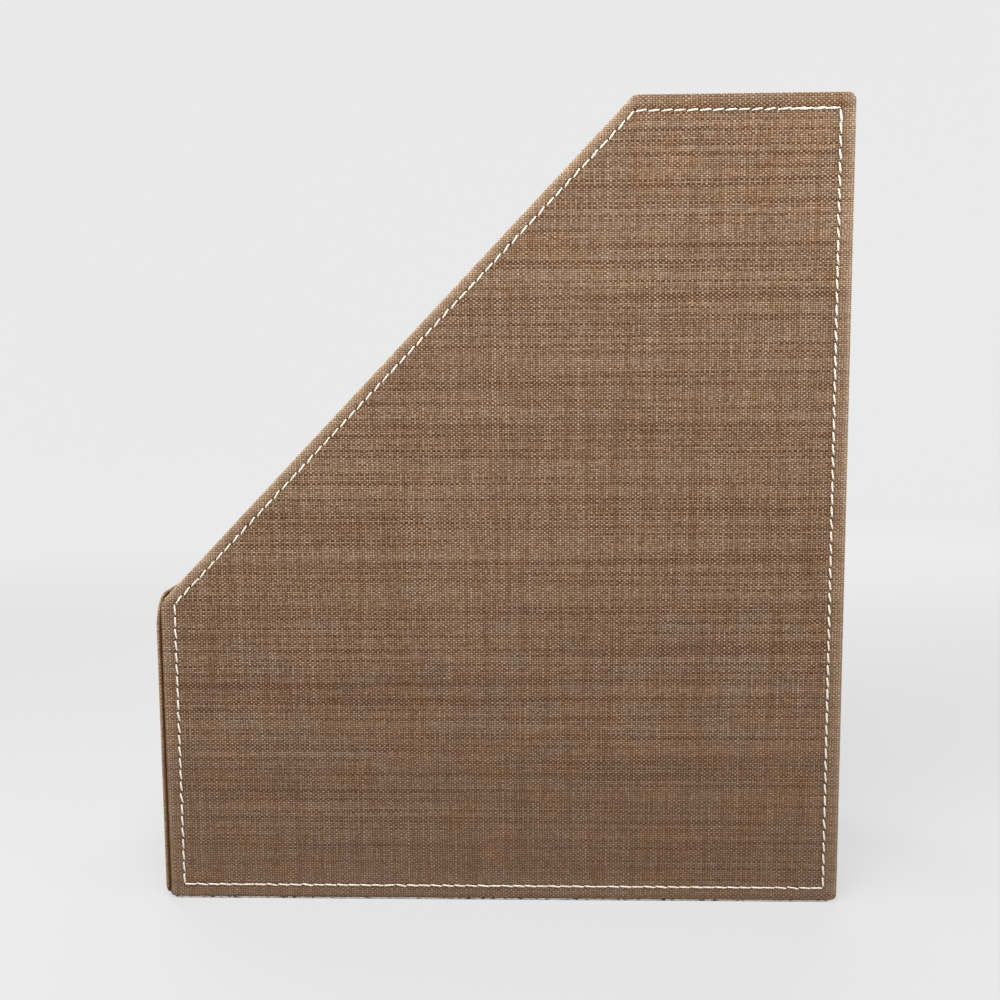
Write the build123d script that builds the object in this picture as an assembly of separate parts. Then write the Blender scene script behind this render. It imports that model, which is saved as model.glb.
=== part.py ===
from build123d import *

import os
from dataclasses import dataclass
from math import atan2, degrees

# File holder: cloth-wrapped greyboard walls with a contrast stitch line, glued into an open upright box.
# All sizes are in millimetres. X runs from the low front wall to the tall back wall, Y across the
# holder and Z up. The origin is the centre of the base, on the surface that the holder stands on.

# Overall outline
holder_height = 305.0
holder_depth = 262.0
holder_width = 102.0
slope_foot_height = 116.0
top_edge_length = 80.0
front_wall_rise = 4.5

# Sheet materials
board_thickness = 1.0
cloth_thickness = 0.35
lining_thickness = 0.3
base_sheet_thickness = 0.9

# Wrapping of a panel
cloth_roll_radius = 0.6
cloth_crease = 0.4
turn_in_width = 14.0
mitre_slit_width = 0.4
mitre_slit_setback = 2.5

# Corner radii of the panels, in their own planes
side_front_bottom_radius = 1.6
side_rear_bottom_radius = 2.2
side_rear_top_radius = 3.0
side_slope_top_radius = 2.7
side_slope_foot_radius = 4.0
front_bottom_radius = 5.0
front_top_radius = 12.0
back_corner_radius = 3.0

# Glued seams and the linings that cover them
glue_line = 0.1
lining_reveal = 4.0
lining_step_run = 1.0

# Sheet under the base
base_sheet_end_inset = 2.5
base_sheet_side_inset = 0.6
base_sheet_corner_radius = 3.0

# Contrast stitching, on the outer faces
stitch_pitch = 4.65
stitch_gap = 0.75
stitch_slant = 8.0
side_bottom_stitch_slant = -4.0
tightest_seam_radius = 2.5
thread_width = 0.7
thread_height = 0.3
side_stitch_bottom = 4.9
side_stitch_rear = 5.4
side_stitch_top = 5.8
side_stitch_slope = 4.3
side_stitch_front = 5.7
end_stitch_margin = 5.5

# Levels and positions that follow from the sizes above
panel_thickness = board_thickness + 2 * cloth_thickness
lined_thickness = panel_thickness + lining_thickness
floor_top = base_sheet_thickness + panel_thickness
front_face = -holder_depth / 2
rear_face = holder_depth / 2
side_face = holder_width / 2
front_seam = front_face + panel_thickness + glue_line
rear_seam = rear_face - panel_thickness - glue_line
inner_side = side_face - panel_thickness - glue_line
lined_side = side_face - lined_thickness - glue_line
slope_top = rear_face - top_edge_length
slope_rise = (holder_height - slope_foot_height) / (slope_top - front_face)
slope_foot_at_seam = slope_foot_height + slope_rise * (front_seam - front_face)
front_wall_top = slope_foot_height + front_wall_rise


def moved_in(corners, insets):
    """Corners of a convex outline, given anticlockwise, after each side has moved in by its inset.

    Side number n runs from corner n to the next corner.
    """
    moved = []
    for number, corner in enumerate(corners):
        before, after = corners[number - 1], corners[(number + 1) % len(corners)]
        arriving = (Vector(corner) - Vector(before)).normalized().rotate(Axis.Z, 90)
        leaving = (Vector(after) - Vector(corner)).normalized().rotate(Axis.Z, 90)
        arriving_inset, leaving_inset = insets[number - 1], insets[number]
        shared = arriving.dot(leaving)
        shift = arriving * (arriving_inset - leaving_inset * shared)
        shift += leaving * (leaving_inset - arriving_inset * shared)
        moved.append(Vector(corner) + shift * (1 / (1 - shared**2)))
    return moved


def heading(run):
    """The direction of a run in its plane, in degrees anticlockwise from X."""
    return degrees(atan2(run.Y, run.X))


def square_face(corners):
    """A flat face with square-cut corners."""
    return make_face(Polyline(*corners, close=True))


def rounded_face(corners, radii):
    """A flat face whose corners are rounded, or left square where the radius is nothing."""
    face = Sketch() + square_face(corners)
    for corner, radius in zip(corners, radii):
        if radius > 0:
            vertex = face.vertices().sort_by_distance(corner)[0]
            face = fillet(vertex, radius)
    return face


def slab(face, outer, inner):
    """The face given a thickness, from its outer level down to its inner level."""
    return Pos(0, 0, inner) * extrude(face, outer - inner)


def pan(wide, narrow, wide_level, narrow_level):
    """A shallow block whose sides slope from the wide outline to the narrow one."""
    lower = Pos(0, 0, wide_level) * Wire.make_polygon(wide)
    upper = Pos(0, 0, narrow_level) * Wire.make_polygon(narrow)
    return Solid.make_loft([lower, upper], ruled=True)


@dataclass
class WrappedPanel:
    """A greyboard panel in its own sheet of cloth, drawn in its own plane.

    The cloth lies on the outer face at level 0, rolls round every edge and is turned in on the
    inner face, where its strips meet in mitres. Levels go down towards the inside. Edges that
    other panels hide are creased flat instead of rolled.
    """

    corners: list
    radii: list
    plane: Plane
    edges_hidden: bool = False

    def inset_corners(self, inset):
        return moved_in(self.corners, [inset] * len(self.corners))

    def inset_face(self, inset):
        return rounded_face(self.inset_corners(inset), [max(radius - inset, 0) for radius in self.radii])

    def board_blank(self):
        return slab(self.inset_face(cloth_thickness), -cloth_thickness, cloth_thickness - panel_thickness)

    def mitre_slits(self):
        """Narrow slits where two turned-in strips meet, from inside the window's corners outwards."""
        slits = []
        outer_ends = self.inset_corners(mitre_slit_setback)
        inner_ends = self.inset_corners(turn_in_width + mitre_slit_width)
        for outer_end, inner_end in zip(outer_ends, inner_ends):
            run = inner_end - outer_end
            middle = outer_end + run * 0.5
            strip = Rot(0, 0, heading(run)) * Rectangle(run.length, mitre_slit_width)
            strip = Pos(middle.X, middle.Y, 0) * strip
            slits.append(slab(strip, cloth_thickness - panel_thickness, -panel_thickness))
        return slits

    def cover_blank(self):
        wrapped = slab(self.inset_face(0), 0, -panel_thickness)
        if self.edges_hidden:
            wrapped = chamfer(wrapped.edges().group_by(Axis.Z)[-1], cloth_crease)
        else:
            wrapped = fillet(wrapped.edges().group_by(Axis.Z)[-1], cloth_roll_radius)
        wrapped = chamfer(wrapped.edges().group_by(Axis.Z)[0], cloth_crease)
        window_face = square_face(self.inset_corners(turn_in_width))
        window = slab(window_face, cloth_thickness - panel_thickness, -panel_thickness)
        return wrapped - self.board_blank() - window - self.mitre_slits()

    def lining_blank(self, edge_insets):
        """A lining sheet over the turned-in strips, sunk onto the bare board between them.

        Where the panel's corners are rounded more than the lining stands back, the lining follows them.
        """
        sheet_corners = moved_in(self.corners, edge_insets)
        sheet_radii = [max(radius - lining_reveal, 0) for radius in self.radii]
        sheet = slab(rounded_face(sheet_corners, sheet_radii), -panel_thickness, -lined_thickness)
        wide = self.inset_corners(turn_in_width)
        narrow = self.inset_corners(turn_in_width + lining_step_run)
        sunk = pan(wide, narrow, -panel_thickness, cloth_thickness - panel_thickness)
        return sheet + sunk - Pos(0, 0, -lining_thickness) * sunk

    def seam_runs(self, margins):
        """The straight runs and arcs that the stitches follow inside the outline, the lowest first.

        The seam is rounded with the panel's corners, and turns sharply where the arc is too tight.
        """
        seam_radii = [radius - max(margins) for radius in self.radii]
        seam_radii = [radius if radius > tightest_seam_radius else 0 for radius in seam_radii]
        return rounded_face(moved_in(self.corners, margins), seam_radii).edges().sort_by(Axis.Y)

    def stitch_blank(self, margins, bottom_slant):
        """Short stitches of thread on the outer face, from needle hole to needle hole and slanted."""
        stitches = []
        runs = self.seam_runs(margins)
        slants = [bottom_slant] + [stitch_slant] * (len(runs) - 1)
        for run, slant in zip(runs, slants):
            count = max(round(run.length / stitch_pitch), 1)
            holes = [run @ (number / count) for number in range(count + 1)]
            stitch = thread_stitch((holes[1] - holes[0]).length - stitch_gap)
            for start, end in zip(holes, holes[1:]):
                middle = (start + end) * 0.5
                turn = heading(end - start) + slant
                stitches.append(Pos(middle.X, middle.Y, 0) * Rot(0, 0, turn) * stitch)
        return Compound(stitches)

    def board(self):
        return self.plane * self.board_blank()

    def cover(self):
        return self.plane * self.cover_blank()

    def lining(self, edge_insets):
        return self.plane * self.lining_blank(edge_insets)

    def stitching(self, margins, bottom_slant):
        return self.plane * self.stitch_blank(margins, bottom_slant)


def thread_stitch(length):
    """One stitch along X on level 0: thread that rises from one needle hole and dips into the next."""
    profile = Polyline((-length / 2, 0), (length / 2, 0), (0, thread_height), close=True)
    return extrude(Plane.XZ * make_face(profile), thread_width / 2, both=True)


def side_panel():
    """The right-hand side wall, with its slope from the front wall up to the flat top edge."""
    corners = [
        (front_seam, base_sheet_thickness),
        (rear_face, base_sheet_thickness),
        (rear_face, holder_height),
        (slope_top, holder_height),
        (front_seam, slope_foot_at_seam),
    ]
    radii = [
        side_front_bottom_radius,
        side_rear_bottom_radius,
        side_rear_top_radius,
        side_slope_top_radius,
        side_slope_foot_radius,
    ]
    plane = Plane(origin=(0, -side_face, 0), x_dir=(1, 0, 0), z_dir=(0, -1, 0))
    return WrappedPanel(corners, radii, plane)


def end_panel(half_width, top, bottom_radius, top_radius, plane):
    """An upright rectangular wall across the holder, at the front or at the back."""
    corners = [
        (-half_width, base_sheet_thickness),
        (half_width, base_sheet_thickness),
        (half_width, top),
        (-half_width, top),
    ]
    radii = [bottom_radius, bottom_radius, top_radius, top_radius]
    return WrappedPanel(corners, radii, plane)


def floor_panel():
    """The bottom of the box, wrapped side up, with square corners that fit between the four walls."""
    corners = [
        (front_seam, -inner_side),
        (rear_seam, -inner_side),
        (rear_seam, inner_side),
        (front_seam, inner_side),
    ]
    square_corners = [0] * len(corners)
    return WrappedPanel(corners, square_corners, Plane.XY.offset(floor_top), edges_hidden=True)


def base_sheet():
    """The pale sheet glued under the walls and the floor, set in from the outline all round."""
    outline = RectangleRounded(
        holder_depth - 2 * base_sheet_end_inset,
        holder_width - 2 * base_sheet_side_inset,
        base_sheet_corner_radius,
    )
    return extrude(outline, base_sheet_thickness)


def build_parts():
    """Every piece of the holder, by the name of its node."""
    side = side_panel()
    front = end_panel(
        side_face,
        front_wall_top,
        front_bottom_radius,
        front_top_radius,
        Plane(origin=(front_face, 0, 0), x_dir=(0, -1, 0), z_dir=(-1, 0, 0)),
    )
    back = end_panel(
        inner_side,
        holder_height,
        back_corner_radius,
        back_corner_radius,
        Plane(origin=(rear_face, 0, 0), x_dir=(0, 1, 0), z_dir=(1, 0, 0)),
    )
    floor = floor_panel()

    above_floor = floor_top - base_sheet_thickness + glue_line
    side_lining_insets = [
        above_floor,
        panel_thickness + glue_line,
        lining_reveal,
        lining_reveal,
        glue_line,
    ]
    front_lining_side_inset = side_face - lined_side + glue_line
    back_lining_side_inset = inner_side - lined_side + glue_line
    front_lining_insets = [above_floor, front_lining_side_inset, lining_reveal, front_lining_side_inset]
    back_lining_insets = [above_floor, back_lining_side_inset, lining_reveal, back_lining_side_inset]
    side_stitch_margins = [
        side_stitch_bottom,
        side_stitch_rear,
        side_stitch_top,
        side_stitch_slope,
        side_stitch_front,
    ]
    end_stitch_margins = [end_stitch_margin] * len(front.corners)

    right_side = {
        "side_board_right": side.board(),
        "side_cover_right": side.cover(),
        "side_lining_right": side.lining(side_lining_insets),
        "side_stitching_right": side.stitching(side_stitch_margins, side_bottom_stitch_slant),
    }
    left_side = {name.replace("right", "left"): mirror(piece, Plane.XZ) for name, piece in right_side.items()}
    ends_and_base = {
        "front_board": front.board(),
        "front_cover": front.cover(),
        "front_lining": front.lining(front_lining_insets),
        "front_stitching": front.stitching(end_stitch_margins, stitch_slant),
        "back_board": back.board(),
        "back_cover": back.cover(),
        "back_lining": back.lining(back_lining_insets),
        "back_stitching": back.stitching(end_stitch_margins, stitch_slant),
        "floor_board": floor.board(),
        "floor_cover": floor.cover(),
        "base_sheet": base_sheet(),
    }
    return {**right_side, **left_side, **ends_and_base}


os.makedirs("parts", exist_ok=True)
for node, piece in build_parts().items():
    export_step(piece, f"parts/{node}.step")
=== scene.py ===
"""Looks of an upright file holder: linen-weave cloth over board, with a cream stitch line.

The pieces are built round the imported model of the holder, whose X runs from the low front wall to the
tall back wall, Y across the holder and Z up. Sizes are in millimetres, and each finished mesh is placed
in metres. A wall is drawn in its own plane, with its outer face at level 0 and the inside below it.
"""

import logging
import math
import random
from collections.abc import Sequence
from dataclasses import dataclass, replace
from enum import Enum

import bmesh
import bpy
from bmesh.types import BMEdge, BMesh, BMFace, BMVert
from bpy.types import Material, Mesh, Node, NodeSocket, Object
from mathutils import Matrix, Vector, noise


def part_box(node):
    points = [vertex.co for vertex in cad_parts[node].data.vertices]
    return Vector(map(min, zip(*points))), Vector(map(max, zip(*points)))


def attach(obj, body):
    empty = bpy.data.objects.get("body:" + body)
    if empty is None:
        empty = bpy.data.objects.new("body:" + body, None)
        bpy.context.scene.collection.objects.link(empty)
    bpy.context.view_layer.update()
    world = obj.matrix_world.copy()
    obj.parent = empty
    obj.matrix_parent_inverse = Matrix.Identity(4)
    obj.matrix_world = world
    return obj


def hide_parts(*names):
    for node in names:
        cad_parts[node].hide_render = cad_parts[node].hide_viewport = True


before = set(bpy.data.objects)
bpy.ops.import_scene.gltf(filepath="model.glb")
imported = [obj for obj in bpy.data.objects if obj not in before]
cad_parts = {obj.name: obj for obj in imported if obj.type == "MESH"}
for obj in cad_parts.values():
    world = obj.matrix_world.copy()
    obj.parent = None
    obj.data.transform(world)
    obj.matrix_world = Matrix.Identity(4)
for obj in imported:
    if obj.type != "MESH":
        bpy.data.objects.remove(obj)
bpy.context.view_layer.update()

MM = 0.001
BODY = "root"
CLOTH_MAP = "cloth"
SEAM_MAP = "seam"
# The share of a paler edge colour on the cloth, partly wear and partly painted highlight, and of soil along
# the felt's cut edge.
EDGE_MARK = "edge_mark"
# The share of painted shade on the cloth in the crease between two walls.
CREASE_SHADE = "crease"
# What the seam map says of the cloth outside the seam's own strip, in millimetres from the seam.
BEYOND_SEAM = -3.0
Colour = tuple[float, float, float, float]
log = logging.getLogger("file_holder")


class Slot(Enum):
    """Names for the material slots of the pieces that are built here, which the script does not assign."""

    CLOTH = "linen_cloth"
    THREAD = "thread"
    FELT = "base_felt"


class Blend(Enum):
    """How two colours are put together."""

    MIX = "MIX"
    MULTIPLY = "MULTIPLY"


class Sum(Enum):
    """The sums on numbers that the finishes are worked out with."""

    WITHOUT_SIGN = "ABSOLUTE"
    PLUS = "ADD"
    ROUND_DOWN = "FLOOR"
    REMAINDER = "FLOORED_MODULO"
    PART_BELOW_ONE = "FRACT"
    SMALLER = "MINIMUM"
    TIMES = "MULTIPLY"
    TIMES_PLUS = "MULTIPLY_ADD"
    POWER = "POWER"
    ROUND = "ROUND"
    SINE = "SINE"
    ROOT = "SQRT"
    MINUS = "SUBTRACT"


def paint(red: float, green: float, blue: float) -> Colour:
    """A screen colour, from 0 to 255 each, as the linear colour that a shader takes.

    Args:
        red: the red of the screen colour.
        green: its green.
        blue: its blue.

    Returns:
        The linear colour with full opacity.
    """
    def linear(value: float) -> float:
        """One channel made linear."""
        share = value / 255
        return share / 12.92 if share <= 0.04045 else ((share + 0.055) / 1.055) ** 2.4

    return linear(red), linear(green), linear(blue), 1.0


def smooth_step(share: float) -> float:
    """A share from 0 to 1 that starts and ends gently."""
    held = min(max(share, 0.0), 1.0)
    return held * held * (3 - 2 * held)


@dataclass(frozen=True)
class Patches:
    """A pattern of soft patches.

    Attributes:
        lengths: how long a patch is in each direction, in millimetres.
        detail: how many finer layers it has.
        roughness: how strong the finer layers are.
        low: the noise at which a patch begins.
        high: the noise at which it is full.
    """

    lengths: tuple[float, float, float]
    detail: float = 2.0
    roughness: float = 0.5
    low: float = 0.3
    high: float = 0.7


class ShaderSketch:
    """A material in the making, with short calls for the nodes that the finishes share.

    Attributes:
        material: the material.
        surface: the node of its surface.
        output: the node that ends it.
    """

    def __init__(self, name: str, roughness: float, gloss: float) -> None:
        """Starts a material with a plain surface.

        Args:
            name: the material's name.
            roughness: the surface's roughness, the same all over.
            gloss: how much of the usual reflection it keeps.
        """
        self.material: Material = bpy.data.materials.new(name)
        self.material.use_nodes = True
        self.material.node_tree.nodes.clear()
        self.surface = self.add("ShaderNodeBsdfPrincipled")
        self.surface.inputs["Roughness"].default_value = roughness
        self.surface.inputs["Specular IOR Level"].default_value = gloss
        self.output = self.add("ShaderNodeOutputMaterial")
        self.join(self.surface.outputs["BSDF"], self.output.inputs["Surface"])

    def add(self, kind: str) -> Node:
        """A new node of a kind."""
        return self.material.node_tree.nodes.new(kind)

    def join(self, source: NodeSocket | float | Sequence[float], target: NodeSocket) -> None:
        """Links a socket to another, or writes a plain value into it.

        Args:
            source: the socket or the plain value that is passed on.
            target: the socket that takes it.
        """
        if isinstance(source, NodeSocket):
            self.material.node_tree.links.new(source, target)
        else:
            target.default_value = source

    def calculate(self, kind: Sum, *values: NodeSocket | float) -> NodeSocket:
        """The result of a sum on one to three values.

        Args:
            kind: the sum.
            values: sockets or plain numbers.

        Returns:
            The socket of the result.
        """
        node = self.add("ShaderNodeMath")
        node.operation = kind.value
        for place, value in enumerate(values):
            self.join(value, node.inputs[place])
        return node.outputs["Value"]

    def plus(self, first: NodeSocket | float, second: NodeSocket | float) -> NodeSocket:
        """The sum of two values."""
        return self.calculate(Sum.PLUS, first, second)

    def times(self, first: NodeSocket | float, second: NodeSocket | float) -> NodeSocket:
        """The product of two values."""
        return self.calculate(Sum.TIMES, first, second)

    def graded(self, value: NodeSocket, factor: NodeSocket | float, start: NodeSocket | float) -> NodeSocket:
        """A value times a factor, on top of a start."""
        return self.calculate(Sum.TIMES_PLUS, value, factor, start)

    def rest_of(self, share: NodeSocket) -> NodeSocket:
        """What a share leaves of 1."""
        return self.calculate(Sum.MINUS, 1.0, share)

    def raised(self, share: NodeSocket, step: float) -> NodeSocket:
        """A factor that starts a step below 1 and reaches 1 where the share does."""
        return self.graded(share, step, 1 - step)

    def lowered(self, share: NodeSocket, step: float) -> NodeSocket:
        """A factor that starts at 1 and is a step below it where the share reaches 1."""
        return self.graded(share, -step, 1.0)

    def power(self, base: NodeSocket, exponent: NodeSocket | float) -> NodeSocket:
        """A value raised to a power."""
        return self.calculate(Sum.POWER, base, exponent)

    def half_wave(self, share: NodeSocket) -> NodeSocket:
        """A round hump over a share that runs from 0 to 1."""
        return self.calculate(Sum.SINE, self.times(share, math.pi))

    def between(self, share: NodeSocket, low: float, high: float) -> NodeSocket:
        """How far a value has come from a low bound to a high one, eased and held from 0 to 1.

        Args:
            share: the value.
            low: where the result is 0.
            high: where it is 1.

        Returns:
            The socket of the result.
        """
        node = self.add("ShaderNodeMapRange")
        node.interpolation_type = "SMOOTHSTEP"
        self.join(share, node.inputs["Value"])
        node.inputs["From Min"].default_value = low
        node.inputs["From Max"].default_value = high
        return node.outputs["Result"]

    def about_one(self, share: NodeSocket, spread: float) -> NodeSocket:
        """A share from 0 to 1 turned into a factor that varies about 1 by the spread."""
        return self.graded(share, 2 * spread, 1 - spread)

    def mean_of(self, share: NodeSocket, first: NodeSocket, second: NodeSocket) -> NodeSocket:
        """A value between two others, where a share of 0 gives the first and 1 the second."""
        return self.graded(self.calculate(Sum.MINUS, second, first), share, first)

    def split(self, vector: NodeSocket) -> tuple[NodeSocket, NodeSocket, NodeSocket]:
        """The three parts of a vector.

        Args:
            vector: the vector.

        Returns:
            The sockets of its X, Y and Z.
        """
        node = self.add("ShaderNodeSeparateXYZ")
        self.join(vector, node.inputs[0])
        return node.outputs[0], node.outputs[1], node.outputs[2]

    def vector(self, *parts: NodeSocket | float) -> NodeSocket:
        """A vector made of up to three parts.

        Args:
            parts: its X, Y and Z, of which the last may be left out.

        Returns:
            The socket of the vector.
        """
        node = self.add("ShaderNodeCombineXYZ")
        for place, part in enumerate(parts):
            self.join(part, node.inputs[place])
        return node.outputs[0]

    def stretched(self, vector: NodeSocket, by: Sequence[float]) -> NodeSocket:
        """A vector with each part multiplied.

        Args:
            vector: the vector.
            by: the factor of each part.

        Returns:
            The socket of the new vector.
        """
        node = self.add("ShaderNodeVectorMath")
        node.operation = "MULTIPLY"
        self.join(vector, node.inputs[0])
        self.join(tuple(by), node.inputs[1])
        return node.outputs[0]

    def map_of(self, name: str) -> NodeSocket:
        """The piece's own UV map of that name.

        Args:
            name: the map's name.

        Returns:
            The socket of the place on it.
        """
        node = self.add("ShaderNodeUVMap")
        node.uv_map = name
        return node.outputs["UV"]

    def object_place(self) -> NodeSocket:
        """The place on the object in millimetres."""
        node = self.add("ShaderNodeTexCoord")
        return self.stretched(node.outputs["Object"], [1 / MM] * 3)

    def seen_directly(self) -> NodeSocket:
        """1 for what the eye sees straight, in a reflection or through glass, and 0 for other light.

        Returns:
            The socket of that number.
        """
        path = self.add("ShaderNodeLightPath")
        mirrored = self.plus(path.outputs["Is Glossy Ray"], path.outputs["Is Transmission Ray"])
        return self.calculate(Sum.SMALLER, self.plus(path.outputs["Is Camera Ray"], mirrored), 1.0)

    def attribute(self, name: str) -> NodeSocket:
        """The piece's own number of that name.

        Args:
            name: the attribute's name.

        Returns:
            The socket of the number.
        """
        node = self.add("ShaderNodeAttribute")
        node.attribute_name = name
        return node.outputs["Fac"]

    def chance_of(self, first: NodeSocket, second: NodeSocket) -> NodeSocket:
        """A number from 0 to 1 that is drawn anew for each pair of whole numbers.

        Args:
            first: the first whole number.
            second: the second one.

        Returns:
            The socket of the drawn number.
        """
        node = self.add("ShaderNodeTexWhiteNoise")
        node.noise_dimensions = "2D"
        self.join(self.vector(first, second), node.inputs["Vector"])
        return node.outputs["Value"]

    def clouds(self, vector: NodeSocket, detail: float = 2.0, roughness: float = 0.5) -> Node:
        """Soft noise whose patches are about one unit of the vector across.

        Args:
            vector: where the noise is read.
            detail: how many finer layers it has.
            roughness: how strong the finer layers are.

        Returns:
            The noise node.
        """
        node = self.add("ShaderNodeTexNoise")
        node.inputs["Scale"].default_value = 1.0
        node.inputs["Detail"].default_value = detail
        node.inputs["Roughness"].default_value = roughness
        self.join(vector, node.inputs["Vector"])
        return node

    def noise_at(self, place: NodeSocket, patches: Patches) -> NodeSocket:
        """The plain noise of a pattern at a place in millimetres."""
        scaled = self.stretched(place, [1 / length for length in patches.lengths])
        return self.clouds(scaled, patches.detail, patches.roughness).outputs["Fac"]

    def in_patch(self, noise: NodeSocket, patches: Patches) -> NodeSocket:
        """How far inside a patch a pattern's noise is, from 0 to 1."""
        return self.between(noise, patches.low, patches.high)

    def patches_at(self, place: NodeSocket, patches: Patches) -> NodeSocket:
        """How far inside a patch a place in millimetres is, from 0 to 1."""
        return self.in_patch(self.noise_at(place, patches), patches)

    def blend(
        self,
        share: NodeSocket | float,
        first: NodeSocket | Colour,
        second: NodeSocket | Colour,
        way: Blend = Blend.MIX,
    ) -> NodeSocket:
        """Two colours put together.

        Args:
            share: how much of the second colour there is.
            first: the colour underneath.
            second: the colour on top.
            way: how they are put together.

        Returns:
            The socket of the new colour.
        """
        node = self.add("ShaderNodeMix")
        node.data_type = "RGBA"
        node.blend_type = way.value
        # The colour sockets of this node follow those for numbers and vectors, which share their names.
        self.join(share, node.inputs["Factor"])
        self.join(first, node.inputs[6])
        self.join(second, node.inputs[7])
        return node.outputs[2]

    def shaded(self, colour: NodeSocket | Colour, factor: NodeSocket, richness: float = 0.0) -> NodeSocket:
        """A colour made lighter or darker by a factor.

        Args:
            colour: the colour.
            factor: the factor, where 1 leaves it as it is.
            richness: how much redder it grows as it darkens, and how much greyer as it lightens.

        Returns:
            The socket of the new colour.
        """
        parts = (factor, factor, factor)
        if richness:
            parts = (factor, self.power(factor, 1 + richness / 2), self.power(factor, 1 + richness))
        return self.blend(1.0, colour, self.vector(*parts), Blend.MULTIPLY)

    def finish(self, colour: NodeSocket, height: NodeSocket, depth: float) -> Material:
        """Gives the surface its colour and its relief.

        Args:
            colour: the colour all over the surface.
            height: the relief, from 0 to 1.
            depth: how deep a relief of 1 is, in millimetres.

        Returns:
            The finished material.
        """
        bump = self.add("ShaderNodeBump")
        bump.inputs["Strength"].default_value = 1.0
        bump.inputs["Distance"].default_value = depth * MM
        self.join(height, bump.inputs["Height"])
        self.join(bump.outputs["Normal"], self.surface.inputs["Normal"])
        self.join(colour, self.surface.inputs["Base Color"])
        return self.material


@dataclass(frozen=True)
class Yarn:
    """One set of yarns of the weave.

    Attributes:
        pitch: the distance from one yarn to the next.
        colour: the colour on top of the yarn.
        slub_length: how long a thick or dark stretch of yarn is.
        slub_spread: how much those stretches differ in lightness.
        streak_gain: how much lighter the few palest stretches are.
        thin_gap_shade: how much darker its thin stretches are painted, as the shade of the wider gaps round
            them.
        row_gap_shade: how much painted shade these put on the whole row, with the yarns that cross them.
        float_spread: how much the places where it lies on top differ in lightness.
        sharpness: how soon the yarn's top falls away, where 1 is a round yarn and less a flat one.
        dip: how far it goes down where it passes under the next yarn.
    """

    pitch: float
    colour: Colour
    slub_length: float
    slub_spread: float
    streak_gain: float
    thin_gap_shade: float
    row_gap_shade: float
    float_spread: float
    sharpness: float
    dip: float


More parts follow.
